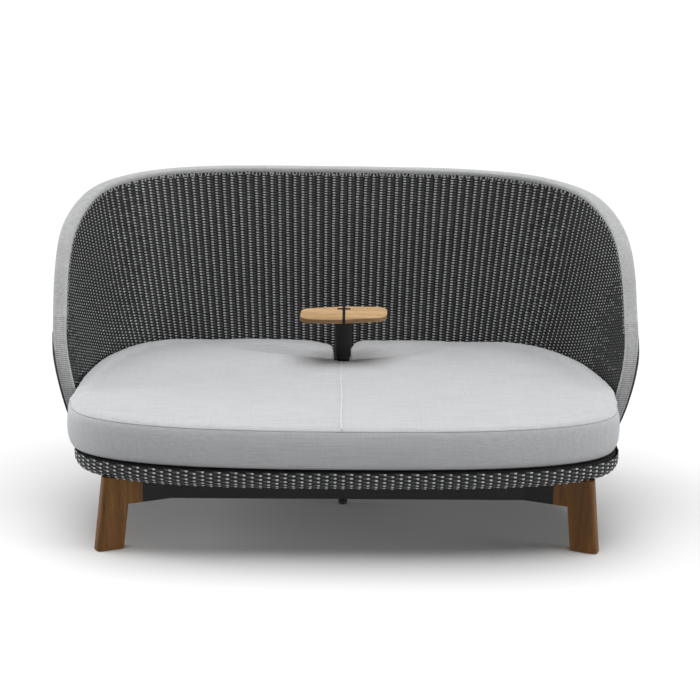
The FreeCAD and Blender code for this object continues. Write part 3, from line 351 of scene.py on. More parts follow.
def teak(name, tones, along, weathered, edge=1.0):
    """Oiled teak: long grain streaks, darker growth lines, fine open pores and paler worn patches."""
    m = Mat(name)
    long_, wide = 2.6, 46.0
    sc = [wide, wide, wide]
    sc[along] = long_
    turn = (math.radians(4), math.radians(-3), math.radians(2))
    streak = m.noise(1.0, 5.0, 0.62, m.scaled(*sc, turn), 0.35)
    sc2 = [14.0, 14.0, 14.0]
    sc2[along] = 1.1
    broad = m.noise(1.0, 3.0, 0.5, m.scaled(*sc2), 0.6)
    sc3 = [820.0, 820.0, 820.0]
    sc3[along] = 38.0
    pores = m.noise(1.0, 2.0, 0.5, m.scaled(*sc3))
    base = m.ramp(m.math("ADD", m.math("MULTIPLY", streak, 0.62), m.math("MULTIPLY", broad, 0.38)),
                  [(0.33, tones[0]), (0.48, tones[1]), (0.66, tones[2])])
    dark = m.ramp(pores, [(0.30, (0.52, 0.46, 0.42)), (0.46, (1.0, 1.0, 1.0))])
    worn = m.ramp(m.noise(9.0, 4.0, 0.6), [(0.45, (1.0, 1.0, 1.0)), (0.75, weathered)])
    wood = m.mix(1.0, m.mix(0.75, base, dark, "MULTIPLY"), worn, "MULTIPLY")
    # with edge below 1, upright faces such as the sides are darkened: painted shade of the sides
    if edge < 1.0:
        face = m.nt.nodes.new("ShaderNodeSeparateXYZ")
        m.put(m.nt.nodes.new("ShaderNodeNewGeometry").outputs["Normal"], face.inputs[0])
        painted_side_shade = m.ramp(m.math("ABSOLUTE", face.outputs["Z"], 0.0), [(0.35, (edge, 0.95 * edge, 0.90 * edge)), (0.85, (1.0, 1.0, 1.0))])
        wood = m.mix(1.0, wood, painted_side_shade, "MULTIPLY")
    m.color(wood)
    m.rough(m.span(streak, 0.44, 0.66))
    m.bump(streak, 0.16, 0.0012)
    m.bump(pores, 0.22, 0.0003)
    m.set(Specular_IOR_Level=0.26)
    return m.m


def powder_coat(name, shade, sheen):
    """Powder-coated metal: fine orange-peel, slight cloudiness and rubbed, smoother patches."""
    m = Mat(name)
    peel = m.noise(1500.0, 2.0, 0.5)
    cloud = m.noise(14.0, 4.0, 0.6)
    m.color(m.ramp(cloud, [(0.30, tuple(0.80 * v for v in shade)), (0.55, shade), (0.75, tuple(1.35 * v for v in shade))]))
    m.rough(m.math("ADD", m.span(m.noise(30.0, 5.0, 0.65), sheen - 0.07, sheen + 0.10), m.math("MULTIPLY", peel, 0.06)))
    m.bump(peel, 0.14, 0.00025)
    m.bump(m.noise(260.0, 2.0, 0.5), 0.05, 0.0004)
    m.set(Specular_IOR_Level=0.28)
    return m.m


def strand(name, dark, mid, light, sheen, gloss):
    """Round weaving strand: fine lengthwise ribbing, colour drifting from strand to strand, soft dust in the grooves."""
    m = Mat(name)
    fine = m.noise(1.0, 2.0, 0.55, m.scaled(240.0, 240.0, 1500.0))
    drift = m.noise(1.0, 2.0, 0.5, m.scaled(34.0, 34.0, 215.0))
    patch = m.noise(5.0, 4.0, 0.6)
    tone = m.math("ADD", m.math("MULTIPLY", drift, 0.6), m.math("ADD", m.math("MULTIPLY", fine, 0.22), m.math("MULTIPLY", patch, 0.18)))
    m.color(m.ramp(tone, [(0.34, dark), (0.50, mid), (0.66, light)]))
    m.rough(m.span(fine, gloss - 0.08, gloss + 0.14))
    m.bump(fine, 0.30, 0.0004)
    m.set(Sheen_Weight=sheen, Sheen_Roughness=0.5, Specular_IOR_Level=0.35)
    return m.m


def cord_wrap(name, tones):
    """Wrapped rim cord: twisted yarn across the rim. The copy made with darker tones is laid in the grooves between
    turns as painted shade.
    """
    m = Mat(name)
    yarn = m.noise(1.0, 3.0, 0.6, m.scaled(620.0, 620.0, 620.0))
    turns = m.noise(1.0, 2.0, 0.5, m.scaled(90.0, 90.0, 150.0))
    patch = m.noise(4.0, 4.0, 0.6)
    tone = m.math("ADD", m.math("MULTIPLY", turns, 0.45), m.math("ADD", m.math("MULTIPLY", yarn, 0.30), m.math("MULTIPLY", patch, 0.25)))
    m.color(m.ramp(tone, [(0.34, tones[0]), (0.50, tones[1]), (0.66, tones[2])]))
    m.rough(m.span(yarn, 0.62, 0.86))
    m.bump(yarn, 0.32, 0.0006)
    m.set(Sheen_Weight=0.25, Sheen_Roughness=0.5, Specular_IOR_Level=0.25)
    return m.m


def cloth(name, tones, fine_turn):
    """Outdoor cushion cloth: plain weave of two greys, long slubs across the width, soft nap."""
    m = Mat(name)
    warp = m.wave(700.0, "X", 1.2, None, 0.4)
    weft_y = m.wave(760.0, "Y", 1.2, None, 0.4)
    weft_z = m.wave(760.0, "Z", 1.2, None, 0.4)
    thread = m.math("MULTIPLY", warp, m.math("ADD", weft_y, weft_z))
    slub = m.noise(1.0, 3.0, 0.62, m.scaled(9.0, 290.0, 310.0))
    slub2 = m.noise(1.0, 3.0, 0.6, m.scaled(230.0, 9.0, 14.0))
    fleck = m.noise(420.0, 2.0, 0.6)
    patch = m.noise(3.2, 4.0, 0.55)
    tone = m.math("ADD", m.math("ADD", m.math("MULTIPLY", slub, 0.46), m.math("MULTIPLY", slub2, 0.13)),
                  m.math("ADD", m.math("MULTIPLY", fleck, 0.35), m.math("MULTIPLY", patch, 0.06)))
    m.color(m.ramp(tone, [(0.34, tones[0]), (0.50, tones[1]), (0.66, tones[2])]))
    m.rough(m.span(fleck, 0.80, 0.96))
    m.bump(thread, 0.25, 0.0004)
    m.bump(slub, 0.20, 0.0007)
    m.bump(patch, 0.03, 0.003)
    m.set(Sheen_Weight=0.35, Sheen_Roughness=0.55, Specular_IOR_Level=0.2)
    return m.m


def webbing(name):
    """Deck of flat woven bands: alternating over and under squares with ribbed bands."""
    m = Mat(name)
    bands = m.nt.nodes.new("ShaderNodeTexChecker")
    bands.inputs["Scale"].default_value = 25.0
    m.put(m.at, bands.inputs["Vector"])
    rib_x = m.wave(330.0, "X", 0.4)
    rib_y = m.wave(330.0, "Y", 0.4)
    edge_x = m.wave(12.5 * 2 / 2, "X", 0.0)
    weave = m.mix(bands.outputs["Fac"], (0.0, 0.0, 0.0), (1.0, 1.0, 1.0))
    rib = m.mix(bands.outputs["Fac"], m.ramp(rib_x, [(0.1, (0.25, 0.25, 0.25)), (0.9, (1.0, 1.0, 1.0))]), m.ramp(rib_y, [(0.1, (0.25, 0.25, 0.25)), (0.9, (1.0, 1.0, 1.0))]))
    tone = m.noise(40.0, 4.0, 0.6)
    col = m.ramp(tone, [(0.3, (0.020, 0.021, 0.023)), (0.5, (0.034, 0.035, 0.037)), (0.7, (0.055, 0.056, 0.058))])
    m.color(m.mix(0.55, col, rib, "MULTIPLY"))
    m.rough(m.span(tone, 0.62, 0.85))
    m.bump(rib, 0.5, 0.0008)
    m.bump(weave, 0.35, 0.0015)
    m.set(Sheen_Weight=0.15, Specular_IOR_Level=0.3)
    return m.m


def steel(name):
    """Brushed stainless fasteners with a little tarnish."""
    m = Mat(name)
    brush = m.noise(1.0, 3.0, 0.6, m.scaled(900.0, 900.0, 120.0))
    tarnish = m.noise(160.0, 4.0, 0.6)
    m.color(m.ramp(tarnish, [(0.3, (0.34, 0.33, 0.31)), (0.6, (0.56, 0.55, 0.53)), (0.8, (0.66, 0.66, 0.65))]))
    m.rough(m.span(brush, 0.24, 0.46))
    m.bump(brush, 0.12, 0.0002)
    m.set(Metallic=1.0)
    return m.m


def moulded(name):
    """Moulded black plastic: fine spark texture, scuffed lighter in places."""
    m = Mat(name)
    spark = m.noise(1900.0, 2.0, 0.5)
    scuff = m.noise(1.0, 5.0, 0.7, m.scaled(60.0, 60.0, 18.0))
    m.color(m.ramp(scuff, [(0.3, (0.012, 0.012, 0.013)), (0.62, (0.020, 0.020, 0.021)), (0.82, (0.06, 0.06, 0.06))]))
    m.rough(m.span(scuff, 0.42, 0.68))
    m.bump(spark, 0.22, 0.0002)
    return m.m


TEAK_LEG = teak("teak_dark", ((0.088, 0.036, 0.0075), (0.158, 0.068, 0.0145), (0.240, 0.112, 0.029)), 2, (0.84, 0.82, 0.78))
# the table top's upright sides are darkened to 0.55: painted shade
TEAK_TOP = teak("teak_light", ((0.33, 0.188, 0.078), (0.57, 0.364, 0.184), (0.77, 0.545, 0.312)), 0, (0.93, 0.91, 0.88), 0.55)
METAL = powder_coat("black_metal", (0.0072, 0.0074, 0.0078), 0.50)
TUBE_METAL = powder_coat("frame_tube", (0.030, 0.031, 0.033), 0.50)
# The mid and grey strand copies are darker copies of the light strand: painted shade where a strand sinks beside a
# light column.
LIGHT = strand("strand_light", (0.430, 0.437, 0.443), (0.555, 0.563, 0.570), (0.680, 0.688, 0.695), 0.12, 0.50)
MID_PAINTED_SHADE = strand("strand_mid_painted_shade", (0.120, 0.124, 0.128), (0.175, 0.180, 0.185), (0.240, 0.246, 0.252), 0.12, 0.48)
GREY_PAINTED_SHADE = strand("strand_grey_painted_shade", (0.048, 0.050, 0.053), (0.080, 0.083, 0.087), (0.125, 0.129, 0.134), 0.10, 0.46)
# Darker strand copies for the wings, and a deepest one for low near the front rim: painted shade.
LIGHT_WING_PAINTED_SHADE = strand("strand_light_wing_painted_shade", (0.330, 0.337, 0.343), (0.440, 0.448, 0.455), (0.550, 0.558, 0.565), 0.02, 0.58)
LIGHT_DEEP_PAINTED_SHADE = strand("strand_light_deep_painted_shade", (0.085, 0.087, 0.090), (0.125, 0.128, 0.132), (0.175, 0.179, 0.184), 0.0, 0.60)
MID_WING_PAINTED_SHADE = strand("strand_mid_wing", (0.052, 0.054, 0.056), (0.080, 0.082, 0.085), (0.115, 0.118, 0.121), 0.0, 0.60)
GREY_WING_PAINTED_SHADE = strand("strand_grey_wing", (0.018, 0.019, 0.020), (0.031, 0.032, 0.034), (0.052, 0.054, 0.056), 0.0, 0.62)
LIGHT_BASE = strand("strand_light_base", (0.500, 0.506, 0.512), (0.630, 0.637, 0.643), (0.750, 0.756, 0.762), 0.12, 0.50)
# The stakes and the weave's core sheet are near-black: painted shade of the gaps between strands.
STAKE_PAINTED_SHADE = strand("strand_stake_painted_shade", (0.006, 0.0065, 0.007), (0.011, 0.0115, 0.0125), (0.019, 0.020, 0.021), 0.0, 0.58)
CORE_PAINTED_SHADE = strand("weave_core_painted_shade", (0.0035, 0.0035, 0.004), (0.006, 0.006, 0.007), (0.010, 0.0105, 0.011), 0.0, 0.66)
CORD = cord_wrap("rim_cord", ((0.375, 0.378, 0.382), (0.462, 0.465, 0.469), (0.552, 0.555, 0.559)))
# darker cord copy for the grooves between turns: painted shade
GROOVE_PAINTED_SHADE = cord_wrap("rim_cord_groove_painted_shade", ((0.085, 0.087, 0.087), (0.130, 0.132, 0.131), (0.180, 0.181, 0.179)))
CLOTH = cloth("cushion_cloth", ((0.460, 0.467, 0.482), (0.565, 0.572, 0.587), (0.660, 0.667, 0.680)), 0)
SEAM = cloth("seam_cloth", ((0.60, 0.61, 0.63), (0.72, 0.73, 0.745), (0.80, 0.81, 0.82)), 1)
# dark cloth for the top and bottom seam tubes: painted shadow line along the seams
SEAM_PAINTED_SHADOW = cloth("seam_painted_shadow", ((0.27, 0.275, 0.285), (0.35, 0.355, 0.365), (0.43, 0.435, 0.445)), 1)
DECK = webbing("deck_webbing")
STEEL = steel("screw_steel")
PLASTIC = moulded("black_plastic")

SLOT_MATERIAL = {"teak_dark": TEAK_LEG, "teak_light": TEAK_TOP, "black_metal": METAL, "frame_tube": TUBE_METAL, "weave_dark": CORE_PAINTED_SHADE, "rim_cord": CORD,
                 "deck_webbing": DECK, "cushion_cloth": CLOTH, "screw_steel": STEEL, "black_plastic": PLASTIC}
NODE_SLOT = {}
for n in NODES:
    if n.startswith("leg_") and n not in ("leg_tenons", "leg_bolts", "leg_glides"):
        NODE_SLOT[n] = "teak_dark"
    elif n.startswith("table_top"):
        NODE_SLOT[n] = "teak_light"
    elif n in ("leg_bolts", "bearer_bolts", "flange_screws", "keeper_screw", "keeper_washer", "table_screws"):
        NODE_SLOT[n] = "screw_steel"
    elif n in ("leg_glides", "centre_glide", "thrust_washer", "bush_lower", "bush_upper"):
        NODE_SLOT[n] = "black_plastic"
    elif n in ("seat_ring", "rim_tube", "back_ribs") or n.startswith("bearer_"):
        NODE_SLOT[n] = "frame_tube"
    elif n.endswith("_weave"):
        NODE_SLOT[n] = "weave_dark"
    elif n == "rim_wrap":
        NODE_SLOT[n] = "rim_cord"
    elif n == "seat_deck":
        NODE_SLOT[n] = "deck_webbing"
    elif n == "seat_cushion":
        NODE_SLOT[n] = "cushion_cloth"
    else:
        NODE_SLOT[n] = "black_metal"
for n, ob in NODES.items():
    mat = SLOT_MATERIAL[NODE_SLOT[n]]
    if not ob.material_slots:
        ob.data.materials.append(mat)
    for sl in ob.material_slots:
        sl.material = mat

# ------------------------------------------------------------------ woven skins
R_TAB = np.linspace(0.0, RIM_HALF - 0.5, 1600)


def edge_tables(inset):
    s, z = rim_at(R_TAB, inset)
    return s, np.minimum.accumulate(z)


def reach_at(z, tab):
    """How far along the wall the skin goes at height z."""
    s, zz = tab
    return np.interp(z, zz[::-1], s[::-1], right=-1.0)


EDGE_KEEP, EDGE_STOP, EDGE_STAKE = edge_tables(20.0), edge_tables(10.5), edge_tables(12.0)


def strand_grid(name, place, rows, pitch, stake, columns, keep, flip, width, lift, u_range, shade_from):
    """Strands of one piece. Every row passes over every second light column, next row over the ones between.
    After the light column it sinks over the next stake, taking the mid and then the grey copy there as painted shade,
    then goes behind. Strands further out than shade_from take the darker wing copies, painted shade."""
    k = stake / 13.6
    X = np.array([-7.6, -5.4, -3.7, -1.6, 1.6, 3.6, 6.2, 9.4, 13.6, 17.2, 20.6]) * k
    H = np.array([-1.0, 0.75, 1.75, 2.15, 2.15, 1.80, 1.25, 1.00, 1.05, 0.30, -1.1]) * lift
    DV = np.array([0.25, 0.20, 0.10, 0.0, -0.05, -0.15, -0.35, -0.55, -0.75, -0.85, -0.9]) * width / 4.2
    ZO = np.array([-0.50, -0.27, 0.27, 0.50]) * width
    HO = np.array([-1.25, 0.0, 0.0, -1.25]) * lift
    nx, nk = len(X), len(ZO)
    us, vs, rr = [], [], []
    for j, v in enumerate(rows):
        c = columns[(columns + j) % 2 == 0]
        u = c * 2.0 * stake
        ok = keep(u, np.full(len(u), v)) & (u >= u_range[0]) & (u < u_range[1])
        us.append(u[ok])
        vs.append(np.full(ok.sum(), v))
        rr.append(np.full(ok.sum(), j))
    u0, v0, rj = np.concatenate(us), np.concatenate(vs), np.concatenate(rr)
    n = len(u0)
    u0 = u0 + rng.normal(0, 0.35, n)
    v0 = v0 + rng.normal(0, 0.16, n)
    up = 1.0 + rng.normal(0, 0.05, n)
    u = u0[:, None, None] + X[None, :, None] + 0 * ZO[None, None, :]
    v = v0[:, None, None] + DV[None, :, None] + ZO[None, None, :]
    h = up[:, None, None] * H[None, :, None] + HO[None, None, :]
    verts = place(u.ravel(), v.ravel(), h.ravel())
    quads = patch_faces(n, nx, nk, flip)
    span_mid = (X[:-1] + X[1:]) / 2
    at = place(u0, v0, 0.0 * u0)
    # painted shade: far out on the wings strands take the darker wing copies, the right wing more than the left, and
    # low near the front rim the light ones take the deepest copy
    right = (at[:, 0] > 0).astype(float)
    dim = rng.random(n) < ease((np.abs(at[:, 0]) - shade_from + 50.0 * right) / 170.0)
    deep_painted_shade = dim & (rng.random(n) < 0.92 * ease((20.0 + 140.0 * right - at[:, 1]) / 190.0) * ease((760.0 + 60.0 * right - at[:, 2]) / 120.0))
    # each strand is light over its column and takes the mid and then the grey copy on its sunk spans: painted shade of
    # the recess
    one = np.repeat(np.where((span_mid > -3.6 * k) & (span_mid < 3.0 * k), 0, np.where((span_mid > -7.0 * k) & (span_mid < 5.5 * k), 1, 2)), nk - 1)
    index = np.tile(one, n) + 4 * np.repeat(dim.astype(int), len(one))
    index = np.where((index == 4) & np.repeat(deep_painted_shade, len(one)), 7, index)
    lo, hi = u_range
    U = np.clip((u - lo + 8) / (hi - lo + 40), 0.001, 0.999) * 0.88
    Vv = (rj[:, None, None] + 0.12 + 0.76 * np.linspace(0, 1, nk)[None, None, :] + 0 * u) / len(rows)
    uv = np.stack([U.ravel(), Vv.ravel()], -1)
    return verts, quads, index, uv


def stake_grid(place, list_u, span, step, flip, half, lift):
    """Upright stakes: half-round rods that the strands pass over."""
    XO = np.array([-1.0, -0.55, 0.55, 1.0]) * half
    HO = np.array([-1.1, 0.35, 0.35, -1.1]) * lift
    V, Q, UV, base = [], [], [], 0
    m = len(list_u)
    for i, u in enumerate(list_u):
        lo, hi = span(u)
        if hi - lo < 12:
            continue
        nv = max(2, int((hi - lo) / step) + 1)
        v = np.linspace(lo, hi, nv)
        uu = u + XO[None, :] + 0 * v[:, None]
        vv = v[:, None] + 0 * XO[None, :]
        hh = HO[None, :] + 0 * v[:, None]
        V.append(place(uu.ravel(), vv.ravel(), hh.ravel()))
        Q.append(patch_faces(1, nv, 4, not flip) + base)
        base += nv * 4
        UV.append(np.stack([0.9 + 0.1 * (i + 0.1 + 0.8 * np.tile(np.arange(4) / 3.0, nv)) / m, np.repeat((v - v[0]) / max(v[-1] - v[0], 1), 4)], -1))
    return np.concatenate(V), np.concatenate(Q), np.concatenate(UV)


def weave_piece(name, parts_strand, parts_stake, light=None):
    v1, q1, i1, uv1 = parts_strand
    v2, q2, uv2 = parts_stake
    verts = np.vstack([v1, v2]) / 1000.0
    quads = np.vstack([q1, q2 + len(v1)])
    index = np.r_[i1, np.full(len(q2), 3)]
    ob = mesh_piece(name, verts, quads, [light or LIGHT, MID_PAINTED_SHADE, GREY_PAINTED_SHADE, STAKE_PAINTED_SHADE, LIGHT_WING_PAINTED_SHADE, MID_WING_PAINTED_SHADE, GREY_WING_PAINTED_SHADE, LIGHT_DEEP_PAINTED_SHADE], index, np.vstack([uv1, uv2]))
    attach(ob, "daybed")
    return ob


ST_SHELL, ROW_SHELL = 13.6, 4.575
SHELL_ROWS = np.arange(282.0, 1036.0, ROW_SHELL)
SHELL_COLS = np.arange(-72, 73)
# the stakes stand closer towards the wings, and the rows open out there
DENSE_S = np.linspace(0.0, 1400.0, 1401)
DENSE = 0.967 * np.interp(DENSE_S, [0, 150, 340, 550, 700, 830, 900, 1400], [1.005, 1.0, 0.960, 0.82, 0.72, 0.62, 0.555, 0.555])
DENSE_U = np.r_[0.0, np.cumsum(0.5 * (1.0 / DENSE[1:] + 1.0 / DENSE[:-1]))]


def spot(u, v):
    """Where a point of the weave's own grid lies on the wall."""
    s = np.sign(u) * np.interp(np.abs(u), DENSE_U, DENSE_S)
    open_ = np.interp(np.abs(s), [0, 300, 560, 750, 900, 1400], [0.968, 0.985, 1.03, 1.10, 1.17, 1.18])
    z = 600.0 + (v - 600.0) * open_
    lean = 0.075 - 0.028 * ease((np.abs(s) - 480.0) / 420.0)
    return s * (1.0 + lean * (z - 660.0) / 700.0), z


def shell_place(u, v, out):
    s, z = spot(u, v)
    z = np.maximum(z, 291.0)
    lim = np.maximum(reach_at(z, EDGE_STOP), 5.0)
    return wall(np.clip(s, -lim, lim), z, out)


SKINS = [("inner_strands", lambda u, v, h: shell_place(u, v, SKIN_IN - h), False), ("outer_strands", lambda u, v, h: shell_place(u, v, WALL - SKIN_IN + h), True)]
CUTS = [(-1960.0, -1000.0), (-1000.0, -420.0), (-420.0, 420.0), (420.0, 1000.0), (1000.0, 1960.0)]


def shell_keep(u, v):
    s, z = spot(u, v)
    return (np.abs(s) <= reach_at(z, EDGE_KEEP)) & (z > 294.0) & (z < 1018.0)


STAKE_V = np.arange(270.0, 1040.0, 1.0)


def stake_span(u):
    """Lower and upper end of one stake: from the seat up to the rim."""
    s, z = spot(np.full(len(STAKE_V), u), STAKE_V)
    inside = np.nonzero((np.abs(s) <= reach_at(z, EDGE_STAKE)) & (z > 293.0))[0]
    if not len(inside):
        return 0.0, 0.0
    gap = np.nonzero(np.diff(inside) > 1)[0]
    last = inside[gap[0]] if len(gap) else inside[-1]
    return STAKE_V[inside[0]], STAKE_V[last]


for label, place, flip in SKINS:
    for k, cut in enumerate(CUTS):
        ks = np.arange(math.ceil(cut[0] / ST_SHELL), math.ceil(cut[1] / ST_SHELL))
        weave_piece("%s_%d" % (label, k + 1),
                    strand_grid(label, place, SHELL_ROWS, ROW_SHELL, ST_SHELL, SHELL_COLS, shell_keep, flip, 4.3, 1.0, cut, 660.0),
                    stake_grid(place, [q * ST_SHELL for q in ks], stake_span, 12.0, flip, 4.2, 1.0))

# ------------------------------------------------------------------ woven edge of the seat base
TRAY = outline(300.0, 3.0, 298.0, WALL - 0.5, 14.0, False, 4.0)
TRAY_N = outward(TRAY, 4)
TRAY_RUN = np.r_[0, np.cumsum(np.hypot(*np.diff(np.vstack([TRAY, TRAY[:1]]), axis=0).T))]
TRAY_LEN = TRAY_RUN[-1]
TRAY_CLOSED, TRAY_NC = np.vstack([TRAY, TRAY[:1]]), np.vstack([TRAY_N, TRAY_N[:1]])
TRAY_TOP, TRAY_ROUND = 295.0, 38.0
TRAY_FLAT = 22.0


def tray_place(q, p, h):
    q = np.mod(q, TRAY_LEN)
    x, y = np.interp(q, TRAY_RUN, TRAY_CLOSED[:, 0]), np.interp(q, TRAY_RUN, TRAY_CLOSED[:, 1])
    nx, ny = np.interp(q, TRAY_RUN, TRAY_NC[:, 0]), np.interp(q, TRAY_RUN, TRAY_NC[:, 1])
    a = np.maximum(p - TRAY_FLAT, 0.0) / TRAY_ROUND
    inset = TRAY_ROUND * (1 - np.cos(a)) - h * np.cos(a)
    z = TRAY_TOP - np.minimum(p, TRAY_FLAT) - TRAY_ROUND * np.sin(a) - h * np.sin(a)
    return np.stack([x - nx * inset, y - ny * inset, z], -1)


TRAY_COLS = int(round(TRAY_LEN / (4 * 12.95))) * 2
ST_TRAY = TRAY_LEN / TRAY_COLS / 2
TRAY_ROWS = np.arange(2.6, 66.0, 6.4)
for k, (a, b) in enumerate(((0.0, TRAY_LEN / 2), (TRAY_LEN / 2, TRAY_LEN))):
    cols = np.arange(0, TRAY_COLS)
    stakes = [q * ST_TRAY for q in range(2 * TRAY_COLS) if a <= q * ST_TRAY < b]
    weave_piece("base_strands_%d" % (k + 1),
                strand_grid("base", tray_place, TRAY_ROWS, 6.4, ST_TRAY, cols, lambda u, v: np.ones(len(u), bool), False, 5.7, 1.0, (a, b), 5000.0),
                stake_grid(tray_place, stakes, lambda u: (0.5, 69.0), 5.0, False, 4.2, 1.0), LIGHT_BASE)

# ------------------------------------------------------------------ wrapped rim
PITCH = 7.0
SIDES = 24
rs = np.arange(-(RIM_HALF - 2.0), RIM_HALF - 2.0, PITCH / 6.0)
rim_s, rim_z = rim_at(rs, 11.0)
centre = wall(rim_s, rim_z, WALL / 2)
across = wall(rim_s, rim_z, WALL / 2 + 1.0) - centre
across /= np.linalg.norm(across, axis=1)[:, None]
s2, z2 = rim_at(rs, 10.0)
lift = wall(s2, z2, WALL / 2) - centre
lift -= across * (lift * across).sum(1)[:, None]
lift /= np.linalg.norm(lift, axis=1)[:, None]
ang = 2 * math.pi * np.arange(SIDES) / SIDES
ca, sa = np.cos(ang), np.sin(ang)
phase = np.mod(rs[:, None] / PITCH + ang[None, :] / (2 * math.pi), 1.0)
turn = np.sqrt(np.clip(1.0 - (2.0 * phase - 1.0) ** 2, 0.0, 1.0))
deep = 0.22 + 1.05 * ease((np.abs(rs) - 1240.0) / 110.0)
low = ease((630.0 - rim_z) / 150.0)
half_wide = 23.0 + 0.7 * low + 3.5 * np.exp(-((np.abs(rim_s) - 880.0) / 130.0) ** 2)
centre = centre + across * (0.7 * low)[:, None]
grow = deep[:, None] * (turn - 0.85) + 0.25 * np.sin(rs / 41.0)[:, None]
ex = np.sign(ca) * np.abs(ca) ** 0.75
ey = np.sign(sa) * np.abs(sa) ** 0.75
ring = centre[:, None] + across[:, None] * ((half_wide[:, None] + grow) * ex[None])[..., None] + lift[:, None] * ((11.0 + grow) * ey[None])[..., None]
nr = len(rs)
i, k = np.meshgrid(np.arange(nr - 1), np.arange(SIDES), indexing="ij")
i, k = i.ravel(), k.ravel()
k2 = (k + 1) % SIDES
quads = np.stack([i * SIDES + k, i * SIDES + k2, (i + 1) * SIDES + k2, (i + 1) * SIDES + k], -1)
half = SIDES // 2
caps = []
for base in (0, (nr - 1) * SIDES):
    for q in range(half - 1):
        caps.append([base + q, base + q + 1, base + SIDES - 2 - q, base + SIDES - 1 - q])
quads = np.vstack([quads, np.array(caps)])
ruv = np.stack([np.repeat(np.arange(nr) / nr, SIDES), np.tile(np.arange(SIDES) / SIDES, nr)], -1)
# the rim's map: the long strip is cut into eight bands, one above the other
band = np.floor(ruv[:, 0] * 8)
ruv = np.stack([ruv[:, 0] * 8 - band, (band + 0.05 + 0.9 * ruv[:, 1]) / 8], -1)
# low on the wings the faces in the groove of each turn take the darker cord copy: painted shade in the grooves
face_phase = np.r_[((phase[:-1] + 1.0 / 12.0) % 1.0).ravel(), np.full(len(caps), 0.5)]
on_wing = np.r_[np.repeat(np.abs(rs[:-1]) > 1300.0, SIDES), np.zeros(len(caps), bool)]
groove = (on_wing & ((face_phase < 0.12) | (face_phase > 0.92))).astype(int)
rim = mesh_piece("rim_cord_wrap", ring.reshape(-1, 3) / 1000.0, quads, [CORD, GROOVE_PAINTED_SHADE], groove, ruv)
tidy_normals(rim)
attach(rim, "daybed")
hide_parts("rim_wrap")

# ends of the light strands, turned over the rim's lower edge on the inside
end_r = np.arange(-1330.0, 1330.0, 11.6) + rng.normal(0, 1.2, len(np.arange(-1330.0, 1330.0, 11.6)))
end_in = np.array([17.0, 20.5, 24.0, 27.5])
end_h = np.array([3.4, 3.6, 2.6, -0.6])
end_w = np.array([-2.1, -0.8, 0.8, 2.1])
end_wh = np.array([-1.2, 0.0, 0.0, -1.2])
more = rng.uniform(-1.5, 4.5, len(end_r))
slant = 3.2 * np.sign(end_r) * ease((np.abs(end_r) - 700.0) / 300.0)
V, Q = [], []
for q in range(len(end_r)):
    far = end_in + more[q] * np.array([0.0, 0.15, 0.6, 1.0])
    rr = end_r[q] + (slant[q] * np.linspace(0.0, 1.0, 4))[:, None] + end_w[None, :] * np.array([1.0, 1.0, 0.9, 0.55])[:, None]
    es, ez = rim_at(rr.ravel(), np.repeat(far, 4))
    V.append(wall(es, ez, SKIN_IN - (end_h[:, None] + end_wh[None, :]).ravel()))
    Q.append(patch_faces(1, 4, 4, False) + 16 * q)
strand_ends = mesh_piece("rim_strand_ends", np.vstack(V) / 1000.0, np.vstack(Q), [CORD])
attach(strand_ends, "daybed")

# turned edge of the outer skin, seen beside the rim low on each wing
for side_name, sg in (("left", -1.0), ("right", 1.0)):
    re_ = np.arange(RIM_HALF - 342.0, RIM_HALF - 3.0, 1.15) * sg
    es, ez = rim_at(re_, 9.5)
    ec = wall(es, ez, 45.6)
    ea = wall(es, ez, 46.6) - ec
    ea /= np.linalg.norm(ea, axis=1)[:, None]
    s3, z3 = rim_at(re_, 8.5)
    eu = wall(s3, z3, 45.6) - ec
    eu -= ea * (eu * ea).sum(1)[:, None]
    eu /= np.linalg.norm(eu, axis=1)[:, None]
    en = 14
    th = 2 * math.pi * np.arange(en) / en
    ph = np.mod(np.abs(re_)[:, None] / 4.6 + th[None] / (2 * math.pi), 1.0)
    bulge = 1.1 * (np.sin(math.pi * ph) - 0.8)
    fade = ease((np.abs(re_) - (RIM_HALF - 342.0)) / 90.0)[:, None]
    ev = ec[:, None] + ea[:, None] * ((1.2 + 3.9 * fade + bulge * fade) * np.cos(th)[None])[..., None] + eu[:, None] * ((3.0 + 5.2 * fade + bulge * fade) * np.sin(th)[None])[..., None]
    ne = len(re_)
    i, k = np.meshgrid(np.arange(ne - 1), np.arange(en), indexing="ij")
    i, k = i.ravel(), k.ravel()
    k2 = (k + 1) % en
    eq = np.stack([i * en + k, i * en + k2, (i + 1) * en + k2, (i + 1) * en + k], -1)
    ecap = [[b + q, b + q + 1, b + en - 2 - q, b + en - 1 - q] for b in (0, (ne - 1) * en) for q in range(en // 2 - 1)]
    euv = np.stack([np.repeat(np.arange(ne) / ne, en), np.tile(np.arange(en) / en, ne)], -1)
    fph = np.r_[ph[:-1].ravel(), np.full(len(ecap), 0.0)]
    # the crest of each turn takes the grey strand copy, the rest the near-black stake copy: painted shade between the
    # turns
    edge = mesh_piece("outer_edge_" + side_name, ev.reshape(-1, 3) / 1000.0, np.vstack([eq, np.array(ecap)]), [STAKE_PAINTED_SHADE, GREY_PAINTED_SHADE], ((fph > 0.30) & (fph < 0.62)).astype(int), euv)
    tidy_normals(edge)
    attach(edge, "daybed")

# ------------------------------------------------------------------ seat cushion
POST = (0.0, 170.5)


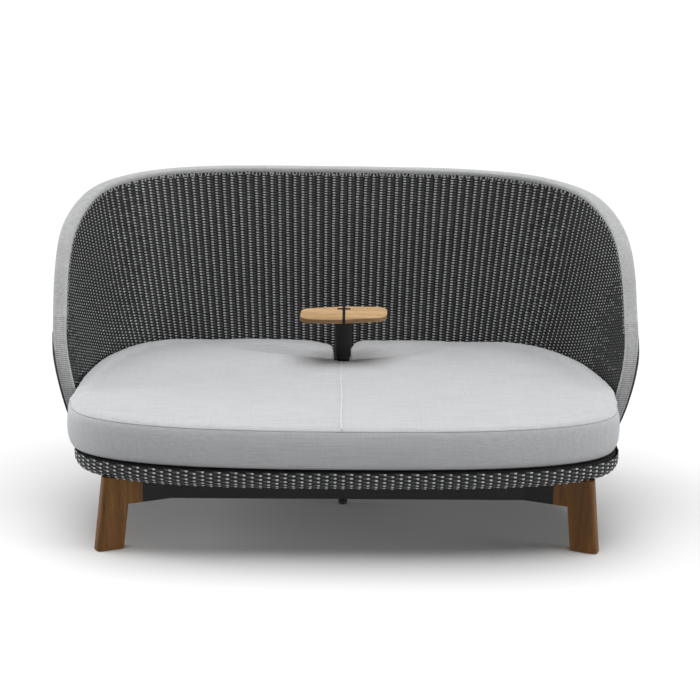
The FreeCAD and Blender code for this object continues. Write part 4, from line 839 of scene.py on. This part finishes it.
def cushion_outline(level, beside, free, count=900):
    """Outline of the pad with its notch round the post, evenly numbered so that levels can be joined. It is drawn in by beside along the woven wall and by free ahead of the wings."""
    p = outline(307.0, 2.8, level, -1.2, 2.5, True, 5.0, (25.0, 1.5))
    w = ease((-245.0 - p[:, 1]) / 60.0)
    p = p - outward(p, 3) * (beside + (free - beside) * w)[:, None]
    xl, xr = 106.0, 84.0
    back = (p[:, 1] > 260.0) & (p[:, 0] > -xl) & (p[:, 0] < xr)
    first = np.argmax(back)
    keep = np.roll(p, -first, 0)
    nb = int(back.sum())
    keep = keep[nb:]
    yb = float(p[back, 1].mean())
    half = 27.6
    t = np.linspace(0, math.pi / 2, 26)
    left = np.stack([-xl + (xl - half) * np.sin(t), 322.0 + (yb - 322.0) * np.cos(t) ** 0.9], -1)
    right_ = np.stack([xr - (xr - half) * np.sin(t), 226.0 + (yb - 226.0) * np.cos(t) ** 0.9], -1)
    a = np.linspace(math.pi, 2 * math.pi, 22)
    turn_ = np.stack([POST[0] + half * np.cos(a), POST[1] + half * np.sin(a)], -1)
    notch = np.vstack([left, turn_, right_[::-1]])
    return even(np.vstack([notch, keep]), count=count)


def closed_loop_mesh(name, rings):
    """Closed solid from stacked outlines of equal count."""
    bm = bmesh.new()
    rows = [[bm.verts.new((x / 1000.0, y / 1000.0, z / 1000.0)) for x, y in pts] for z, pts in rings]
    n = len(rows[0])
    for lo, hi in zip(rows, rows[1:]):
        for q in range(n):
            bm.faces.new((lo[q], lo[(q + 1) % n], hi[(q + 1) % n], hi[q]))
    bm.faces.new(rows[0][::-1])
    bm.faces.new(rows[-1])
    bmesh.ops.triangulate(bm, faces=[f for f in bm.faces if len(f.verts) > 4])
    bmesh.ops.recalc_face_normals(bm, faces=bm.faces)
    me = bpy.data.meshes.new(name)
    bm.to_mesh(me)
    bm.free()
    ob = bpy.data.objects.new(name, me)
    scene.collection.objects.link(ob)
    return ob


def coords(me):
    c = np.empty(len(me.vertices) * 3, np.float32)
    me.vertices.foreach_get("co", c)
    return c.reshape(-1, 3).astype(float)


def smoothed(me, pts, turns, amount):
    e = np.empty(len(me.edges) * 2, np.int32)
    me.edges.foreach_get("vertices", e)
    e = e.reshape(-1, 2)
    n = len(pts)
    deg = np.bincount(e.ravel(), minlength=n).astype(float)
    for _ in range(turns):
        acc = np.stack([np.bincount(e[:, 0], pts[e[:, 1], q], n) + np.bincount(e[:, 1], pts[e[:, 0], q], n) for q in range(3)], -1)
        pts = pts + amount * (acc / deg[:, None] - pts)
    return pts


def near_curve(pts, curve, reach):
    """True for points within reach of a closed curve."""
    from mathutils.kdtree import KDTree
    tree = KDTree(len(curve))
    for q, p in enumerate(curve):
        tree.insert(p, q)
    tree.balance()
    return np.array([tree.find(p)[2] < reach for p in pts])


# height, drawn in beside the wall, drawn in ahead of the wings: a full, rounded side between two seams
PROFILE = [(298.4, 11.0, 31.0), (303.0, 4.5, 19.0), (316.0, 5.5, 12.5), (336.0, 6.0, 7.5), (362.0, 6.0, 5.5), (392.0, 5.5, 6.5), (412.0, 4.0, 9.0),
           (425.0, 1.5, 13.0), (433.0, 0.5, 17.5), (439.0, 2.0, 26.0), (443.0, 9.0, 44.0)]
start = closed_loop_mesh("cushion_start", [(z, cushion_outline(max(z, 298.0), w_in, f_in)) for z, w_in, f_in in PROFILE])
rem = start.modifiers.new("even", "REMESH")
rem.mode = "VOXEL"
rem.voxel_size = 0.0088
dg = bpy.context.evaluated_depsgraph_get()
pad_mesh = bpy.data.meshes.new_from_object(start.evaluated_get(dg))
bpy.data.objects.remove(start)
pad_mesh.name = "cushion_pad"
pad = bpy.data.objects.new("cushion_pad", pad_mesh)
scene.collection.objects.link(pad)
pts = smoothed(pad_mesh, coords(pad_mesh), 3, 0.5)
SEAM_HIGH, SEAM_DOWN = cushion_outline(431.0, 0.5, 16.5), cushion_outline(303.0, 4.5, 19.0)
seam_top = np.hstack([SEAM_HIGH, np.full((len(SEAM_HIGH), 1), 431.0)]) / 1000.0
seam_low = np.hstack([SEAM_DOWN, np.full((len(SEAM_DOWN), 1), 303.0)]) / 1000.0
pad_mesh.vertices.foreach_set("co", pts.astype(np.float32).ravel())
pad_mesh.update()

CAP_UP, CAP_SIDE = 0.0095, 0.0055
held = near_curve(pts, np.vstack([seam_top, seam_low]), 0.0075) | (np.hypot(pts[:, 0] - POST[0] / 1000.0, pts[:, 1] - POST[1] / 1000.0) < 0.062)
group = pad.vertex_groups.new(name="sewn")
group.add([int(q) for q in np.nonzero(held)[0]], 1.0, "REPLACE")
cl = pad.modifiers.new("fill", "CLOTH")
st = cl.settings
st.quality = 6
st.mass = 0.25
st.tension_stiffness = st.compression_stiffness = 22.0
st.shear_stiffness = 8.0
st.bending_stiffness = 1.5
st.use_pressure = True
st.uniform_pressure_force = 4.0
st.vertex_group_mass = "sewn"
st.effector_weights.gravity = 0.0
cl.point_cache.frame_start, cl.point_cache.frame_end = 1, 20
for f in range(1, 21):
    scene.frame_set(f)
dg = bpy.context.evaluated_depsgraph_get()
done = bpy.data.meshes.new_from_object(pad.evaluated_get(dg))
swollen = coords(done)
bpy.data.meshes.remove(done)
pad.modifiers.remove(cl)
pad.vertex_groups.remove(group)
scene.frame_set(1)
move = swollen - pts
up_move = np.clip(move[:, 2], 0.0, None)
flat_move = move.copy()
flat_move[:, 2] = 0.0
size = np.linalg.norm(flat_move, axis=1)
flat_move *= (CAP_SIDE * np.tanh(size / CAP_SIDE) / np.maximum(size, 1e-9))[:, None]
pts = pts + flat_move
pts[:, 2] += CAP_UP * np.tanh(up_move / CAP_UP)
pts = smoothed(pad_mesh, pts, 2, 0.5)


def off_curve(pts, curve):
    """Distance of points from a closed curve, seen from above."""
    from mathutils.kdtree import KDTree
    tree = KDTree(len(curve))
    for q, p in enumerate(curve):
        tree.insert((p[0], p[1], 0.0), q)
    tree.balance()
    return np.array([tree.find((p[0], p[1], 0.0))[2] for p in pts])


# along the woven wall the filling is pressed up, so the edge stays full there
away = off_curve(pts, cushion_outline(433.0, 0.5, 17.5) / 1000.0)
press = (0.003 + 0.019 * ease((np.abs(pts[:, 0]) - 0.40) / 0.32)) * (1.0 - ease((-0.200 - pts[:, 1]) / 0.060)) * ease((np.abs(pts[:, 0]) - 0.12) / 0.08)
pts[:, 2] += press * np.exp(-(away / 0.032) ** 2) * ease((pts[:, 2] - 0.375) / 0.045)


def valley(x, y):
    """Hollow that the pad makes round the post: two creases that run back from it, the left one longer and softer."""
    a = np.abs(x)
    t = y - (0.187 + np.where(x < 0, 0.42, 0.70) * a ** 1.5)
    wide = np.where(x < 0, 0.400, 0.360)
    side = np.clip(1.0 - (a / wide) ** 2.2, 0.0, 1.0)
    ahead = 0.0130 + np.where(x < 0, 0.040, 0.220) * np.clip(a - 0.025, 0.0, 0.25)
    behind = 0.060 + np.where(x < 0, 0.070, 0.030) * np.clip(a, 0.0, 0.25)
    deep = 0.042 + np.where(x < 0, 0.120, -0.090) * np.clip(a - 0.020, 0.0, 0.12)
    return deep * side * ease((0.412 - y) / 0.110) * np.where(t < 0, np.exp(-(t / ahead) ** 2), np.exp(-np.abs(t / behind) ** 3))


high = ease((pts[:, 2] - 0.335) / 0.09)
pts[:, 2] -= valley(pts[:, 0], pts[:, 1]) * high
# soft unevenness of a filled pad, and the slight pull of the centre seam
x, y = pts[:, 0], pts[:, 1]
soft = 0.0011 * np.sin(5.1 * x + 1.3) * np.cos(6.3 * y + 0.4) + 0.0007 * np.sin(13.0 * x - 7.0 * y + 2.0) + 0.0004 * np.sin(31.0 * x + 3.0 * np.sin(9.0 * y))
pts[:, 2] += soft * high
seam_x = -0.0235 - 0.0275 * (0.2 - y) / 0.75 * 1.0 + 0.018 + 0.0016 * np.sin(17.0 * y)
on_seam = np.exp(-((x - seam_x) / 0.011) ** 2) * ease((0.150 - y) / 0.03)
pts[:, 2] -= 0.0016 * on_seam * high
# left of the post the pad lies close against it and slopes down to it
near = (pts[:, 0] < -0.0268) & (pts[:, 0] > -0.075) & (pts[:, 1] > 0.19) & (pts[:, 2] > 0.36)
gain = ease((pts[:, 2] - 0.36) / 0.05) * ease((pts[:, 1] - 0.19) / 0.04) * ease((0.075 + pts[:, 0]) / 0.035)
pts[:, 0] = np.where(near, -0.0268 + (pts[:, 0] + 0.0268) * (1.0 - 0.50 * gain), pts[:, 0])
pts[:, 2] -= np.where(pts[:, 0] < 0.0, 0.007 * ease((pts[:, 0] + 0.160) / 0.120) * ease((pts[:, 1] - 0.26) / 0.06), 0.0) * high
# it rests flat, and keeps clear of the post
pts[:, 2] = np.clip(pts[:, 2], 0.2978, 0.4540)
dx, dy = pts[:, 0] - POST[0] / 1000.0, pts[:, 1] - POST[1] / 1000.0
rad = np.hypot(dx, dy)
push = np.where(rad < 0.0262, 0.0262 / np.maximum(rad, 1e-6), 1.0)
pts[:, 0], pts[:, 1] = POST[0] / 1000.0 + dx * push, POST[1] / 1000.0 + dy * push
pad_mesh.vertices.foreach_set("co", pts.astype(np.float32).ravel())
pad_mesh.polygons.foreach_set("use_smooth", np.ones(len(pad_mesh.polygons), bool))
pad_mesh.materials.clear()
pad_mesh.materials.append(CLOTH)
pad_mesh.update()
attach(pad, "cushion")
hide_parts("seat_cushion")

bm = bmesh.new()
bm.from_mesh(pad_mesh)
tree = BVHTree.FromBMesh(bm)
bm.free()


def snapped(path, out):
    q = []
    for p in path:
        loc, nor, _, _ = tree.find_nearest(Vector(p))
        q.append(np.array(loc) + np.array(nor) * out)
    return np.array(q)


def eased_closed(path, turns):
    for _ in range(turns):
        path = 0.5 * path + 0.25 * (np.roll(path, 1, 0) + np.roll(path, -1, 0))
    return path


def eased_open(path, turns):
    for _ in range(turns):
        path[1:-1] = 0.5 * path[1:-1] + 0.25 * (path[2:] + path[:-2])
    return path


seams = []
# the top and bottom seam tubes carry the dark seam cloth: painted shadow line of each seam
for name, curve in (("cushion_seam_top", seam_top), ("cushion_seam_low", seam_low)):
    path = eased_closed(snapped(curve, 0.0002), 3)
    seams.append(tube(name, path, 0.0011, [SEAM_PAINTED_SHADOW], True))
ys = np.linspace(0.132, -0.566, 120)
sx = -0.0235 - 0.0275 * (0.2 - ys) / 0.75 + 0.018 + 0.0016 * np.sin(17.0 * ys)
line = np.stack([sx, ys, np.full(len(ys), 0.47)], -1)
line = eased_open(snapped(line, 0.0), 1)
line[:, 0], line[:, 1] = sx, ys
seams.append(tube("cushion_seam_centre", line + np.array([0, 0, 0.0009]), 0.0019, [SEAM], False, 8, 0.8))
for ob in seams:
    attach(ob, "cushion")

# ------------------------------------------------------------------ studio: pale floor, soft light, camera at the photograph's angle
me = bpy.data.meshes.new("studio_floor")
bm = bmesh.new()
n = 24
grid = [[bm.verts.new((-60 + 120 * i / n, -60 + 120 * j / n, 0.0)) for j in range(n + 1)] for i in range(n + 1)]
for i in range(n):
    for j in range(n):
        bm.faces.new((grid[i][j], grid[i + 1][j], grid[i + 1][j + 1], grid[i][j + 1]))
bm.to_mesh(me)
bm.free()
floor = bpy.data.objects.new("studio_floor", me)
scene.collection.objects.link(floor)
fm = Mat("studio_floor")
fm.color(fm.ramp(fm.noise(0.6, 3.0, 0.5), [(0.3, (0.895, 0.895, 0.895)), (0.7, (0.920, 0.920, 0.920))]))
fm.rough(fm.span(fm.noise(8.0, 3.0, 0.5), 0.75, 0.9))
fm.set(Specular_IOR_Level=0.1)
me.materials.append(fm.m)

w = bpy.data.worlds.new("studio")
scene.world = w
w.use_nodes = True
# surroundings: pale all round at the horizon, dim above, and a weak fill from below in place of the floor's bounce
wt = w.node_tree
bg = wt.nodes["Background"]
bg.inputs["Strength"].default_value = 1.0
way = wt.nodes.new("ShaderNodeSeparateXYZ")
wt.links.new(wt.nodes.new("ShaderNodeTexCoord").outputs["Generated"], way.inputs[0])
rise = wt.nodes.new("ShaderNodeMapRange")
rise.inputs["From Min"].default_value = -1.0
rise.inputs["From Max"].default_value = 1.0
wt.links.new(way.outputs["Z"], rise.inputs["Value"])
sky = wt.nodes.new("ShaderNodeValToRGB")
stops = [(0.0, 0.50), (0.472, 0.50), (0.490, 0.93), (0.578, 0.93), (0.630, 0.10), (1.0, 0.10)]
while len(sky.color_ramp.elements) < len(stops):
    sky.color_ramp.elements.new(0.5)
for el, (pos, v) in zip(sky.color_ramp.elements, stops):
    el.position = pos
    el.color = (v, v, v, 1.0)
wt.links.new(rise.outputs["Result"], sky.inputs["Fac"])
wt.links.new(sky.outputs["Color"], bg.inputs["Color"])
floor.visible_diffuse = False


def soft_sun(name, source, energy, spread):
    """Broad distant light that comes from the direction of source."""
    sd = bpy.data.lights.new(name, "SUN")
    sd.energy = energy
    sd.angle = math.radians(spread)
    ob = bpy.data.objects.new(name, sd)
    ob.rotation_euler = (-Vector(source)).to_track_quat("-Z", "Y").to_euler()
    scene.collection.objects.link(ob)


soft_sun("key_high", (-0.02, 0.14, 1.0), 2.82, 60.0)
soft_sun("side_left", (-1.0, 0.20, 0.30), 1.15, 30.0)
soft_sun("side_right", (1.0, -0.22, 0.10), 1.42, 36.0)

eye, aim = Vector((-0.3258, -6.7157, 2.5466)), Vector((0.0, -0.0295, 0.5))
fw = (aim - eye).normalized()
right = fw.cross(Vector((0, 0, 1))).normalized()
up = right.cross(fw)
roll = math.radians(1.35)
cx = right * math.cos(roll) + up * math.sin(roll)
cy = -right * math.sin(roll) + up * math.cos(roll)
cd = bpy.data.cameras.new("photo_camera")
cam = bpy.data.objects.new("photo_camera", cd)
scene.collection.objects.link(cam)
cam.matrix_world = Matrix(((cx.x, cy.x, -fw.x, eye.x), (cx.y, cy.y, -fw.y, eye.y), (cx.z, cy.z, -fw.z, eye.z), (0, 0, 0, 1)))
cd.sensor_width = 36.0
cd.lens = 108.0
cd.shift_x, cd.shift_y = 0.0062, 0.0134
cd.clip_end = 200.0
scene.camera = cam
scene.view_settings.view_transform = "Standard"
